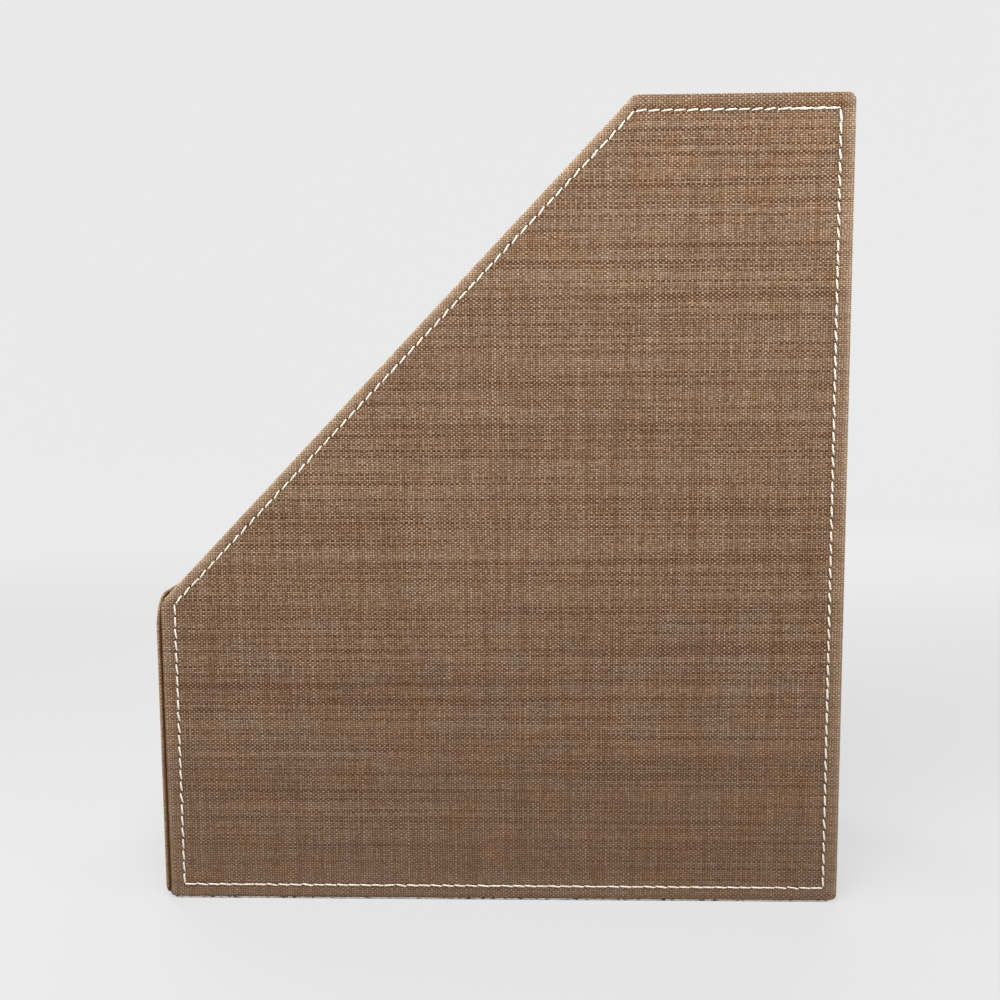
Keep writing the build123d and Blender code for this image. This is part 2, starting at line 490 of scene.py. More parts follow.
@dataclass(frozen=True)
class LinenCloth:
    """Plain linen weave in brown: lighter upright yarns over darker slubby cross yarns.

    Attributes:
        warp: the upright yarns.
        weft: the cross yarns.
        gap_shade_colour: the painted shade deep between the yarns.
        hole_shade_colour: the painted shade in a needle hole.
        worn_and_highlight_colour: the colour of rubbed yarns, which on the rolled edges is also a painted
            highlight.
        crease_shade_colour: the painted shade in the crease between two walls.
        base_shade_colour: the darker, flat brown that the weave is blended toward near the base, as painted
            shade.
        base_shade_share: how much of it there is at the base.
        base_shade_below: the height up to which there is some.
        sheen_colour: the tint of the fine fibres that stand off the cloth.
        wander: how far the yarns stray from their line.
        wander_length: the distance over which they do.
        flutter: how far they stray at short range.
        flutter_length: the distance over which they do.
        yarn_skip: how different one yarn's slubs are from the next one's.
        slubs: the detail and roughness of the slubs' noise.
        slub_range: the noise between a yarn's darkest and lightest stretches.
        streak_range: the noise at which its palest stretches begin and are full.
        thin_range: the noise at which its thin stretches are full and end.
        thin_sharpening: how much sharper a thin yarn's top is.
        fat_stretches: where the upright yarns are thick and the cross yarns thin.
        dye_bands: the broad bands of uneven dye along the cross yarns.
        band_spread: how much they differ in lightness.
        dye_patches: the patches of warmer and cooler dye.
        warm_tone: the tint of the warmer ones.
        cool_tone: the tint of the cooler ones.
        rubbed_patches: where the cloth is rubbed more.
        rubbed_spread: how much less it is rubbed elsewhere.
        tops_only: how much less the gaps are rubbed than the yarns' tops.
        richness: how much redder the cloth grows as it darkens.
        relief: the depth of the weave.
        roughness: the surface's roughness.
        gloss: how much of the usual reflection it keeps.
        sheen: how strong the sheen of the fine fibres is.
        sheen_roughness: how soft that sheen is.
        hole_length: the half length of a needle hole along the seam.
        hole_width: its half width.
        hole_edge: where its dark edge begins and ends, in half lengths.
        seam_shade_edge: where the painted shade along the seam's pressed line begins and ends, from its
            middle.
        seam_shade_dark: how much darker that painted shade is.
    """

    warp: Yarn = Yarn(
        pitch=0.97,
        colour=paint(170, 143, 120),
        slub_length=60.0,
        slub_spread=0.14,
        streak_gain=0.08,
        thin_gap_shade=0.0,
        row_gap_shade=0.06,
        float_spread=0.16,
        sharpness=0.32,
        dip=0.68,
    )
    weft: Yarn = Yarn(
        pitch=0.74,
        colour=paint(139, 110, 83),
        slub_length=190.0,
        slub_spread=0.22,
        streak_gain=0.16,
        thin_gap_shade=0.25,
        row_gap_shade=0.11,
        float_spread=0.32,
        sharpness=0.66,
        dip=0.48,
    )
    gap_shade_colour: Colour = paint(54, 26, 5)
    hole_shade_colour: Colour = paint(72, 54, 38)
    worn_and_highlight_colour: Colour = paint(208, 182, 152)
    crease_shade_colour: Colour = paint(84, 54, 29)
    base_shade_colour: Colour = paint(98, 76, 60)
    base_shade_share: float = 0.38
    base_shade_below: float = 140.0
    sheen_colour: Colour = paint(222, 184, 148)
    wander: float = 0.30
    wander_length: float = 7.0
    flutter: float = 0.16
    flutter_length: float = 1.6
    yarn_skip: float = 3.73
    slubs: tuple[float, float] = (2.0, 0.45)
    slub_range: tuple[float, float] = (0.30, 0.70)
    streak_range: tuple[float, float] = (0.60, 0.70)
    thin_range: tuple[float, float] = (0.37, 0.51)
    thin_sharpening: float = 0.7
    fat_stretches: Patches = Patches((5.0, 1.8, 1.0), low=0.36, high=0.64)
    dye_bands: Patches = Patches((250.0, 6.0, 1.0))
    band_spread: float = 0.06
    dye_patches: Patches = Patches((14.0, 7.0, 1.0), low=0.36, high=0.64)
    warm_tone: Colour = (1.02, 0.985, 0.945, 1.0)
    cool_tone: Colour = (0.98, 0.995, 1.035, 1.0)
    rubbed_patches: Patches = Patches((2.5, 2.5, 1.0), detail=3.0, roughness=0.6)
    rubbed_spread: float = 0.4
    tops_only: float = 0.8
    richness: float = 0.55
    relief: float = 0.11
    roughness: float = 0.9
    gloss: float = 0.14
    sheen: float = 0.08
    sheen_roughness: float = 0.5
    hole_length: float = 0.38
    hole_width: float = 0.30
    hole_edge: tuple[float, float] = (0.5, 1.6)
    seam_shade_edge: tuple[float, float] = (0.2, 1.1)
    seam_shade_dark: float = 0.22

    def material(self, stitch_pitch: float) -> Material:
        """The cloth, with its needle holes along the seam.

        Args:
            stitch_pitch: the distance from one needle hole to the next.

        Returns:
            The material, which reads the piece's cloth and seam maps.
        """
        sketch = ShaderSketch("linen_cloth", self.roughness, self.gloss)
        sketch.surface.inputs["Sheen Weight"].default_value = self.sheen
        sketch.surface.inputs["Sheen Roughness"].default_value = self.sheen_roughness
        sketch.surface.inputs["Sheen Tint"].default_value = self.sheen_colour
        place = self.wandering_place(sketch)
        across, along, _ = sketch.split(place)
        warp_number, warp_share, warp_colour, column = self.laid_yarn(sketch, self.warp, across, along)
        weft_number, weft_share, weft_colour, row = self.laid_yarn(sketch, self.weft, along, across)
        warp_on_top = sketch.calculate(Sum.REMAINDER, sketch.plus(warp_number, weft_number), 2.0)
        fatness = sketch.patches_at(place, self.fat_stretches)
        warp_height = self.crown(sketch, self.warp, warp_share, weft_share, sketch.rest_of(fatness))
        weft_height = self.crown(sketch, self.weft, weft_share, warp_share, fatness)
        height = sketch.mean_of(warp_on_top, weft_height, warp_height)

        chance = sketch.chance_of(warp_number, weft_number)
        weft_own = sketch.about_one(chance, self.weft.float_spread)
        warp_own = sketch.about_one(chance, self.warp.float_spread)
        own = sketch.mean_of(warp_on_top, weft_own, warp_own)
        shade = sketch.times(own, sketch.times(column, row))
        top_colour = sketch.blend(warp_on_top, weft_colour, warp_colour)
        yarn_colour = sketch.shaded(top_colour, shade, self.richness)
        # Painted shade between the yarns, where the relief is low.
        colour = sketch.blend(height, self.gap_shade_colour, yarn_colour)
        colour, height = self.shaded_toward_base(sketch, colour, height)
        colour = self.mottled(sketch, colour, place)
        colour = self.worn_and_highlighted(sketch, colour, height, place)
        colour, height = self.pierced(sketch, colour, height, stitch_pitch)
        # Painted shade: the cloth is darkened in the crease between two walls.
        colour = sketch.blend(sketch.attribute(CREASE_SHADE), colour, self.crease_shade_colour)
        return sketch.finish(colour, height, self.relief)

    def wandering_place(self, sketch: ShaderSketch) -> NodeSocket:
        """The place on the flat cloth, moved a little so that no yarn runs quite straight or even.

        Args:
            sketch: the material in the making.

        Returns:
            The place in millimetres.
        """
        place = sketch.map_of(CLOTH_MAP)
        for length, reach in ((self.wander_length, self.wander), (self.flutter_length, self.flutter)):
            sway = sketch.clouds(sketch.stretched(place, [1 / length] * 3), detail=1.0)
            offset = sketch.add("ShaderNodeVectorMath")
            offset.operation = "MULTIPLY_ADD"
            sketch.join(sway.outputs["Color"], offset.inputs[0])
            sketch.join((2 * reach,) * 3, offset.inputs[1])
            sketch.join(place, offset.inputs[2])
            place = offset.outputs[0]
        return place

    def laid_yarn(
        self, sketch: ShaderSketch, yarn: Yarn, across: NodeSocket, along: NodeSocket
    ) -> tuple[NodeSocket, NodeSocket, NodeSocket, NodeSocket]:
        """One set of yarns, side by side.

        Args:
            sketch: the material in the making.
            yarn: the set.
            across: the place across the yarns.
            along: the place along them.

        Returns:
            The yarn's number, the place across it from 0 to 1, its colour, and the painted shade of its row.
        """
        turns = sketch.times(across, 1 / yarn.pitch)
        number = sketch.calculate(Sum.ROUND_DOWN, turns)
        share = sketch.calculate(Sum.MINUS, turns, number)
        own_place = sketch.vector(
            sketch.times(along, 1 / yarn.slub_length),
            sketch.times(number, self.yarn_skip),
            yarn.slub_length,
        )
        slub = sketch.clouds(own_place, *self.slubs).outputs["Fac"]
        tint = sketch.about_one(sketch.between(slub, *self.slub_range), yarn.slub_spread)
        streak = sketch.times(sketch.between(slub, *self.streak_range), yarn.streak_gain)
        thin = sketch.rest_of(sketch.between(slub, *self.thin_range))
        # Painted shade: a thin stretch, and the row it lies in, are darkened for the wider gaps round it.
        tint = sketch.graded(thin, -yarn.thin_gap_shade, sketch.plus(tint, streak))
        colour = sketch.shaded(yarn.colour, tint, self.richness)
        return number, share, colour, sketch.lowered(thin, yarn.row_gap_shade)

    def crown(
        self,
        sketch: ShaderSketch,
        yarn: Yarn,
        across: NodeSocket,
        along: NodeSocket,
        thinness: NodeSocket,
    ) -> NodeSocket:
        """The height of a yarn where it lies on top.

        Args:
            sketch: the material in the making.
            yarn: the set that it belongs to.
            across: the place across the yarn, from 0 to 1.
            along: the place along the stretch that lies on top, from 0 to 1.
            thinness: how thin the yarn is there, from 0 to 1.

        Returns:
            The height, from 0 between the yarns to 1.
        """
        sharpness = sketch.graded(thinness, self.thin_sharpening, yarn.sharpness)
        roundness = sketch.power(sketch.half_wave(across), sharpness)
        return sketch.times(roundness, sketch.raised(sketch.half_wave(along), yarn.dip))

    def shaded_toward_base(
        self, sketch: ShaderSketch, colour: NodeSocket, height: NodeSocket
    ) -> tuple[NodeSocket, NodeSocket]:
        """The weave made darker and flatter toward the base: painted shade, with the relief lowered too.

        Args:
            sketch: the material in the making.
            colour: the colour of the weave without that shade.
            height: its relief.

        Returns:
            The colour and the relief.
        """
        level = sketch.split(sketch.object_place())[2]
        unshaded = sketch.between(level, 0.0, self.base_shade_below)
        share = sketch.graded(unshaded, -self.base_shade_share, self.base_shade_share)
        # Painted shade: low down the weave is blended toward a darker brown and its relief is flattened.
        return sketch.blend(share, colour, self.base_shade_colour), sketch.times(height, sketch.rest_of(share))

    def mottled(self, sketch: ShaderSketch, colour: NodeSocket, place: NodeSocket) -> NodeSocket:
        """The colour with uneven dye: broad bands along the cross yarns and warmer or cooler patches.

        Args:
            sketch: the material in the making.
            colour: the colour of the weave.
            place: the place on the flat cloth.

        Returns:
            The new colour.
        """
        bands = sketch.about_one(sketch.patches_at(place, self.dye_bands), self.band_spread)
        banded = sketch.shaded(colour, bands, self.richness)
        tone = sketch.blend(sketch.patches_at(place, self.dye_patches), self.warm_tone, self.cool_tone)
        return sketch.blend(1.0, banded, tone, Blend.MULTIPLY)

    def worn_and_highlighted(
        self, sketch: ShaderSketch, colour: NodeSocket, height: NodeSocket, place: NodeSocket
    ) -> NodeSocket:
        """The colour with paler yarns toward the rolled edges: partly rubbed wear and partly a painted
        highlight where the edges catch the light.

        Args:
            sketch: the material in the making.
            colour: the colour of the whole cloth.
            height: its relief, since only the tops of the yarns are rubbed.
            place: the place on the flat cloth.

        Returns:
            The new colour.
        """
        rubbed = sketch.raised(sketch.patches_at(place, self.rubbed_patches), self.rubbed_spread)
        # Wear and painted highlight together: the rolled edges are blended toward a paler colour.
        share = sketch.times(sketch.attribute(EDGE_MARK), rubbed)
        tops = sketch.raised(height, self.tops_only)
        return sketch.blend(sketch.times(share, tops), colour, self.worn_and_highlight_colour)

    def pierced(
        self,
        sketch: ShaderSketch,
        colour: NodeSocket,
        height: NodeSocket,
        stitch_pitch: float,
    ) -> tuple[NodeSocket, NodeSocket]:
        """The cloth with needle holes and the pressed line of the seam, both darkened as painted shade.

        Args:
            sketch: the material in the making.
            colour: the colour of the whole cloth.
            height: its relief.
            stitch_pitch: the distance from one needle hole to the next.

        Returns:
            The colour and the relief.
        """
        count, aside, _ = sketch.split(sketch.map_of(SEAM_MAP))
        nearest = sketch.calculate(Sum.ROUND, count)
        along = sketch.times(sketch.calculate(Sum.MINUS, count, nearest), stitch_pitch / self.hole_length)
        across = sketch.times(aside, 1 / self.hole_width)
        reach = sketch.calculate(Sum.ROOT, sketch.plus(sketch.power(along, 2.0), sketch.power(across, 2.0)))
        around = sketch.between(reach, *self.hole_edge)
        hole = sketch.rest_of(around)
        beside = sketch.between(sketch.calculate(Sum.WITHOUT_SIGN, aside), *self.seam_shade_edge)
        # Painted shade along the pressed line of the seam.
        seam_shaded_colour = sketch.shaded(colour, sketch.raised(beside, self.seam_shade_dark))
        # Painted shade in the needle holes, which are also lowered in the relief.
        return sketch.blend(hole, seam_shaded_colour, self.hole_shade_colour), sketch.times(height, around)


@dataclass(frozen=True)
class SewingThread:
    """Twisted cream sewing thread.

    Attributes:
        crown_colour: the colour on top of a ply.
        groove_shade_colour: the painted shade between two plies.
        groove_shade_edge: how high on a ply that shade begins to fade, and where it has gone.
        plies: how many plies lie side by side round the thread.
        turns: how many of them follow one another along a stitch.
        soil: the soft patches that are lighter or darker.
        soil_spread: how much they differ in lightness.
        relief: the depth of the grooves.
    """

    crown_colour: Colour = paint(239, 228, 212)
    groove_shade_colour: Colour = paint(202, 188, 167)
    groove_shade_edge: tuple[float, float] = (0.05, 0.6)
    plies: float = 2.0
    turns: float = 2.6
    soil: Patches = Patches((9.0, 9.0, 9.0))
    soil_spread: float = 0.07
    relief: float = 0.08

    def material(self) -> Material:
        """The thread, whose plies wind round each stitch along its seam map.

        Returns:
            The material.
        """
        sketch = ShaderSketch("sewing_thread", roughness=0.62, gloss=0.35)
        round_share, along_share, _ = sketch.split(sketch.map_of(SEAM_MAP))
        winding = sketch.plus(sketch.times(round_share, self.plies), sketch.times(along_share, self.turns))
        ply = sketch.half_wave(sketch.calculate(Sum.PART_BELOW_ONE, winding))
        # Painted shade in the grooves between the plies.
        colour = sketch.blend(sketch.between(ply, *self.groove_shade_edge), self.groove_shade_colour, self.crown_colour)
        soil = sketch.noise_at(sketch.object_place(), self.soil)
        colour = sketch.shaded(colour, sketch.about_one(soil, self.soil_spread))
        return sketch.finish(colour, ply, self.relief)


@dataclass(frozen=True)
class LiningPaper:
    """Uncoated brown lining paper with short fibres.

    Attributes:
        paper_colour: the colour of the paper.
        fibre_colour: the colour of its paler fibres.
        fibres: where they lie.
        clouds: the slight cloudiness of the paper.
        cloudiness: how strong it is.
        relief: the depth of its surface.
    """

    paper_colour: Colour = paint(118, 96, 78)
    fibre_colour: Colour = paint(141, 118, 98)
    fibres: Patches = Patches((0.625, 0.625, 2.0), detail=4.0, roughness=0.65, low=0.45, high=0.75)
    clouds: Patches = Patches((35.0, 35.0, 35.0))
    cloudiness: float = 0.08
    relief: float = 0.05

    def material(self) -> Material:
        """The paper, with fibres and a slight cloudiness.

        Returns:
            The material.
        """
        sketch = ShaderSketch("lining_paper", roughness=0.86, gloss=0.3)
        place = sketch.object_place()
        fibres = sketch.noise_at(place, self.fibres)
        colour = sketch.blend(sketch.in_patch(fibres, self.fibres), self.paper_colour, self.fibre_colour)
        clouds = sketch.about_one(sketch.noise_at(place, self.clouds), self.cloudiness)
        return sketch.finish(sketch.shaded(colour, clouds), fibres, self.relief)


@dataclass(frozen=True)
class GreyBoard:
    """Solid bookbinding board: grey pulp with darker specks.

    Attributes:
        pulp_colour: the colour of the pulp.
        speck_colour: the colour of the specks.
        specks: where they lie.
        relief: the depth of its surface.
    """

    pulp_colour: Colour = paint(146, 142, 136)
    speck_colour: Colour = paint(96, 90, 84)
    specks: Patches = Patches((1 / 1.3,) * 3, detail=4.0, roughness=0.7, low=0.55, high=0.75)
    relief: float = 0.08

    def material(self) -> Material:
        """The board, speckled all through.

        Returns:
            The material.
        """
        sketch = ShaderSketch("grey_board", roughness=0.92, gloss=0.2)
        specks = sketch.noise_at(sketch.object_place(), self.specks)
        colour = sketch.blend(sketch.in_patch(specks, self.specks), self.pulp_colour, self.speck_colour)
        return sketch.finish(colour, specks, self.relief)


@dataclass(frozen=True)
class NeedleFelt:
    """Thin pale felt, soiled in dark specks along its cut edge.

    Attributes:
        felt_colour: the colour of the upper fibres.
        shade_colour: the colour of the deeper ones.
        soil_colour: the colour of the specks.
        fibres: where the upper fibres lie.
        soil: where the specks lie.
        relief: the depth of its surface.
    """

    felt_colour: Colour = paint(224, 216, 208)
    shade_colour: Colour = paint(176, 166, 158)
    soil_colour: Colour = paint(66, 58, 52)
    fibres: Patches = Patches((1 / 2.2,) * 3, detail=5.0, roughness=0.7, low=0.35, high=0.65)
    soil: Patches = Patches((2.2, 2.2, 1.0), detail=3.0, roughness=0.6, low=0.52, high=0.62)
    relief: float = 0.25

    def material(self) -> Material:
        """The felt, with tangled fibres and soil along its cut edge.

        Returns:
            The material.
        """
        sketch = ShaderSketch("needle_felt", roughness=0.95, gloss=0.15)
        place = sketch.object_place()
        fibres = sketch.noise_at(place, self.fibres)
        colour = sketch.blend(sketch.in_patch(fibres, self.fibres), self.shade_colour, self.felt_colour)
        soiled = sketch.times(sketch.patches_at(place, self.soil), sketch.attribute(EDGE_MARK))
        return sketch.finish(sketch.blend(soiled, colour, self.soil_colour), fibres, self.relief)


@dataclass(frozen=True)
class StudioPaper:
    """The pale floor and backdrop, which show as evenly pale and still keep the holder's shadow.

    Attributes:
        paper_colour: the paper's own colour in the lamps' light.
        floor_glow: the tone that the eye sees low down.
        wall_glow: the tone that it sees high up.
        glow_rise: the height at which the second one is full.
        near_share: how much of that tone there is round the holder.
        far_share: how much there is far out.
        near_reach: where the first share ends.
        far_reach: where the second one begins.
        clouds: the slight cloudiness of the paper.
        cloudiness: how strong it is.
        relief: the depth of its surface.
    """

    paper_colour: Colour = paint(176, 176, 176)
    floor_glow: Colour = paint(241, 241, 241)
    wall_glow: Colour = paint(241, 241, 242)
    glow_rise: float = 400.0
    near_share: float = 0.64
    far_share: float = 0.92
    near_reach: float = 300.0
    far_reach: float = 1100.0
    clouds: Patches = Patches((300.0, 300.0, 300.0), detail=1.0)
    cloudiness: float = 0.01
    relief: float = 0.1

    def material(self) -> Material:
        """The paper, which has its own pale tone for the eye alone and casts no light of its own.

        Returns:
            The material.
        """
        sketch = ShaderSketch("studio_paper", roughness=0.95, gloss=0.1)
        place = sketch.object_place()
        clouds = sketch.noise_at(place, self.clouds)
        colour = sketch.shaded(self.paper_colour, sketch.about_one(clouds, self.cloudiness))
        material = sketch.finish(colour, clouds, self.relief)
        height = sketch.between(sketch.split(place)[2], 0.0, self.glow_rise)
        glow = sketch.add("ShaderNodeEmission")
        sketch.join(sketch.blend(height, self.floor_glow, self.wall_glow), glow.inputs["Color"])
        distance = sketch.add("ShaderNodeVectorMath")
        distance.operation = "LENGTH"
        sketch.join(place, distance.inputs[0])
        away = sketch.between(distance.outputs["Value"], self.near_reach, self.far_reach)
        glow_share = sketch.graded(away, self.far_share - self.near_share, self.near_share)
        mixed = sketch.add("ShaderNodeMixShader")
        sketch.join(sketch.times(sketch.seen_directly(), glow_share), mixed.inputs["Fac"])
        sketch.join(sketch.surface.outputs["BSDF"], mixed.inputs[1])
        sketch.join(glow.outputs["Emission"], mixed.inputs[2])
        sketch.join(mixed.outputs["Shader"], sketch.output.inputs["Surface"])
        return material


@dataclass(frozen=True)
class Ring:
    """One closed line round a cover, by where it runs.

    Attributes:
        seam_share: 1 where the line follows the seam, 0 where it follows the wall's edge.
        inset: how much further inside the line runs.
        level: its height over the outer face.
        flat_inset: its inset on the cloth laid flat, where that differs.
        press: how strongly the seam pulls it down.
        edge_mark: how much paler the cloth is there, from 0 to 1: partly wear and partly painted highlight.
    """

    seam_share: float
    inset: float
    level: float
    flat_inset: float | None = None
    press: float = 0.0
    edge_mark: float = 0.0


@dataclass(frozen=True)
class SeamStep:
    """The way from one needle hole to the next.

    Attributes:
        start: the place of the first hole.
        end: the place of the next one.
        side: the side of the wall that the stitch lies along.
    """

    start: Vector
    end: Vector
    side: int


@dataclass
class PanelOutline:
    """The outline of a wall in its own plane, anticlockwise, with the seam that runs inside it.

    Attributes:
        corners: the sharp corners, before they are rounded.
        radii: the rounding of each corner.
        margins: how far the seam lies inside each side. Side n starts at corner n.
        stitch_pitch: the usual distance between needle holes.
        tightest_seam: the smallest rounding that the seam follows. At a tighter corner it turns sharply.
        steps_per_stitch: how finely a side is divided.
        arc_steps: how finely a corner is divided.
    """

    corners: list[Vector]
    radii: list[float]
    margins: list[float]
    stitch_pitch: float = 4.65
    tightest_seam: float = 2.5
    steps_per_stitch: int = 4
    arc_steps: int = 8

    def inward(self, side: int) -> Vector:
        """The direction into the wall, square to a side."""
        run = self.corners[(side + 1) % len(self.corners)] - self.corners[side]
        return Vector((-run.y, run.x)).normalized()

    def corner_point(self, number: int, before: float, after: float) -> Vector:
        """The point at given distances inside the two sides that meet at a corner.

        Args:
            number: which corner.
            before: the distance from the side that arrives there.
            after: the distance from the side that leaves it.

        Returns:
            The point in the wall's plane.
        """
        arriving, leaving = self.inward(number - 1), self.inward(number)
        shared = arriving.dot(leaving)
        shift = arriving * (before - after * shared) + leaving * (after - before * shared)
        return self.corners[number] + shift / (1 - shared**2)

    def corner_stitches(self, number: int) -> int:
        """The number of stitches that follow a rounded corner.

        Args:
            number: which corner.

        Returns:
            The number, which is 0 where the seam turns sharply.
        """
        radius = self.radii[number] - (self.margins[number - 1] + self.margins[number]) / 2
        if radius < self.tightest_seam:
            return 0
        turn = self.inward(number - 1).angle(self.inward(number))
        return max(round(radius * turn / self.stitch_pitch), 1)

    def side_stitches(self, side: int) -> int:
        """The number of stitches along a side, between its corners.

        Args:
            side: which side.

        Returns:
            The number, which is at least 1.
        """
        following = (side + 1) % len(self.corners)
        start = self.arc(side, self.margins[side - 1], self.margins[side])[-1]
        end = self.arc(following, self.margins[side], self.margins[following])[0]
        return max(round((end - start).length / self.stitch_pitch), 1)

    def stitch_total(self) -> int:
        """The number of stitches of the whole seam."""
        sides = range(len(self.corners))
        return sum(self.corner_stitches(side) + self.side_stitches(side) for side in sides)

    def arc(self, number: int, before: float, after: float) -> list[Vector]:
        """The rounded corner of a line inside the outline.

        Args:
            number: which corner.
            before: the line's distance from the side that arrives there.
            after: its distance from the side that leaves it.

        Returns:
            Points along the arc, which all meet where the line lies deeper than the rounding.
        """
        radius = max(self.radii[number] - (before + after) / 2, 0.0)
        centre = self.corner_point(number, before + radius, after + radius)
        start = -self.inward(number - 1)
        end = -self.inward(number)
        first = math.atan2(start.y, start.x)
        turn = (math.atan2(end.y, end.x) - first) % (2 * math.pi)
        angles = [first + turn * step / self.arc_steps for step in range(self.arc_steps + 1)]
        return [centre + radius * Vector((math.cos(angle), math.sin(angle))) for angle in angles]

    def line(self, insets: list[float]) -> list[Vector]:
        """A closed line inside the outline, with the same number of points whatever its insets.

        Args:
            insets: its distance from each side.

        Returns:
            The points, corner by corner and side by side.
        """
        arcs = [self.arc(number, insets[number - 1], insets[number]) for number in range(len(self.corners))]
        points = []
        for side, arc in enumerate(arcs):
            start, end = arc[-1], arcs[(side + 1) % len(arcs)][0]
            parts = self.side_stitches(side) * self.steps_per_stitch
            points += arc
            points += [start.lerp(end, part / parts) for part in range(1, parts)]
        return points

    def hole_numbers(self) -> list[float]:
        """For each point of a line, how many stitches lie between it and the seam's start.

        Returns:
            One number for each point, in the order of the line.
        """
        numbers = []
        passed = 0
        for side in range(len(self.corners)):
            turning = self.corner_stitches(side)
            numbers += [passed + turning * step / self.arc_steps for step in range(self.arc_steps + 1)]
            passed += turning
            parts = self.side_stitches(side) * self.steps_per_stitch
            numbers += [passed + part / self.steps_per_stitch for part in range(1, parts)]
            passed += self.side_stitches(side)
        return numbers

    def sides_of_points(self) -> list[set[int]]:
        """For each point of a line, the sides that it touches: one along a side and two at a corner.

        Returns:
            One set of sides for each point, in the order of the line.
        """
        sides = []
        for side in range(len(self.corners)):
            before = (side - 1) % len(self.corners)
            sides += [{before, side}] * (self.arc_steps + 1)
            sides += [{side}] * (self.side_stitches(side) * self.steps_per_stitch - 1)
        return sides

    def seam_steps(self) -> list[SeamStep]:
        """The seam from needle hole to needle hole.

        Returns:
            The steps in order. The last one leads back to the start.
        """
        seam = self.line(self.margins)
        holes, sides = [], []
        corner = 0
        for side in range(len(self.corners)):
            turning = self.corner_stitches(side)
            if turning:
                holes += [seam[corner + self.arc_steps * step // turning] for step in range(turning + 1)]
                sides += [side] * turning
            else:
                holes.append(seam[corner + self.arc_steps // 2])
            count = self.side_stitches(side)
            corner += self.arc_steps
            holes += [seam[corner + self.steps_per_stitch * step] for step in range(1, count)]
            sides += [side] * count
            corner += self.steps_per_stitch * count
        return [SeamStep(*step) for step in zip(holes, holes[1:] + holes[:1], sides)]

    def insets(self, ring: Ring) -> list[float]:
        """How far a ring lies inside each side."""
        return [ring.seam_share * margin + ring.inset for margin in self.margins]

    def depth_inside_seam(self, point: Vector) -> float:
        """How far a point lies inside the nearest stretch of the seam.

        Args:
            point: the point in the wall's plane.

        Returns:
            The distance, which is below 0 outside the seam.
        """
        return min(
            (point - self.corners[side]).dot(self.inward(side)) - margin
            for side, margin in enumerate(self.margins)
        )


def rectangle(low: Vector, high: Vector) -> list[Vector]:
    """The corners of a rectangle in a plane, anticlockwise from the lowest one."""
    return [low, Vector((high.x, low.y)), high, Vector((low.x, high.y))]


def area_inside(points: list[Vector]) -> float:
    """The area inside a closed line of points, in its own units squared."""
    following = points[1:] + points[:1]
    return abs(sum(here.x * there.y - there.x * here.y for here, there in zip(points, following))) / 2


def ring_edges(ring: list[BMVert]) -> list[BMEdge]:
    """The edges that join a closed ring of vertices.

    Args:
        ring: the vertices.

    Returns:
        The edges that have both ends on the ring.
    """
    members = set(ring)
    return [
        edge
        for edge in {edge for vert in ring for edge in vert.link_edges}
        if edge.verts[0] in members and edge.verts[1] in members
    ]


def grown_ring(bm: BMesh, ring: list[BMVert]) -> list[BMVert]:
    """A new ring joined to an open one by a band of faces.

    Args:
        bm: the mesh in the making.
        ring: the ring that the band starts from, whose edges have at most one face each.

    Returns:
        The new ring, in the same order and place.
    """
    open_edges = [edge for edge in ring_edges(ring) if len(edge.link_faces) < 2]
    grown = bmesh.ops.extrude_edge_only(bm, edges=open_edges)["geom"]
    fresh = {item for item in grown if isinstance(item, BMVert)}
    return [next(e.other_vert(v) for e in v.link_edges if e.other_vert(v) in fresh) for v in ring]


def placed_object(name: str, bm: BMesh, place: Matrix, materials: Sequence[Material]) -> Object:
    """Turns a finished mesh into an object whose place is in its mesh.

    Args:
        name: the name of the piece.
        bm: the mesh, in millimetres in its own frame.
        place: how that frame lies in the holder, in millimetres.
        materials: the finishes of the piece.

    Returns:
        The object, which rides on the holder.
    """
    bmesh.ops.transform(bm, matrix=Matrix.Scale(MM, 4) @ place, verts=bm.verts)
    if place.determinant() < 0:
        bmesh.ops.reverse_faces(bm, faces=bm.faces)
    mesh = bpy.data.meshes.new(name)
    bm.to_mesh(mesh)
    bm.free()
    mesh.shade_smooth()
    for material in materials:
        mesh.materials.append(material)
    piece = bpy.data.objects.new(name, mesh)
    bpy.context.scene.collection.objects.link(piece)
    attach(piece, BODY)
    log.info("built %s with %d faces", name, len(mesh.polygons))
    return piece


def plane_matrix(origin: Vector, along: Vector, outward: Vector) -> Matrix:
    """The place of a wall's plane in the holder.

    Args:
        origin: the plane's origin.
        along: the direction of the plane's own X.
        outward: the direction that its outer face looks.

    Returns:
        The matrix from the wall's frame to the holder's, both in millimetres.
    """
    upward = Vector((0, 0, 1)) if abs(outward.z) < 0.5 else Vector((0, 1, 0))
    turned = Matrix((along, upward, outward)).transposed().to_4x4()
    return Matrix.Translation(origin) @ turned


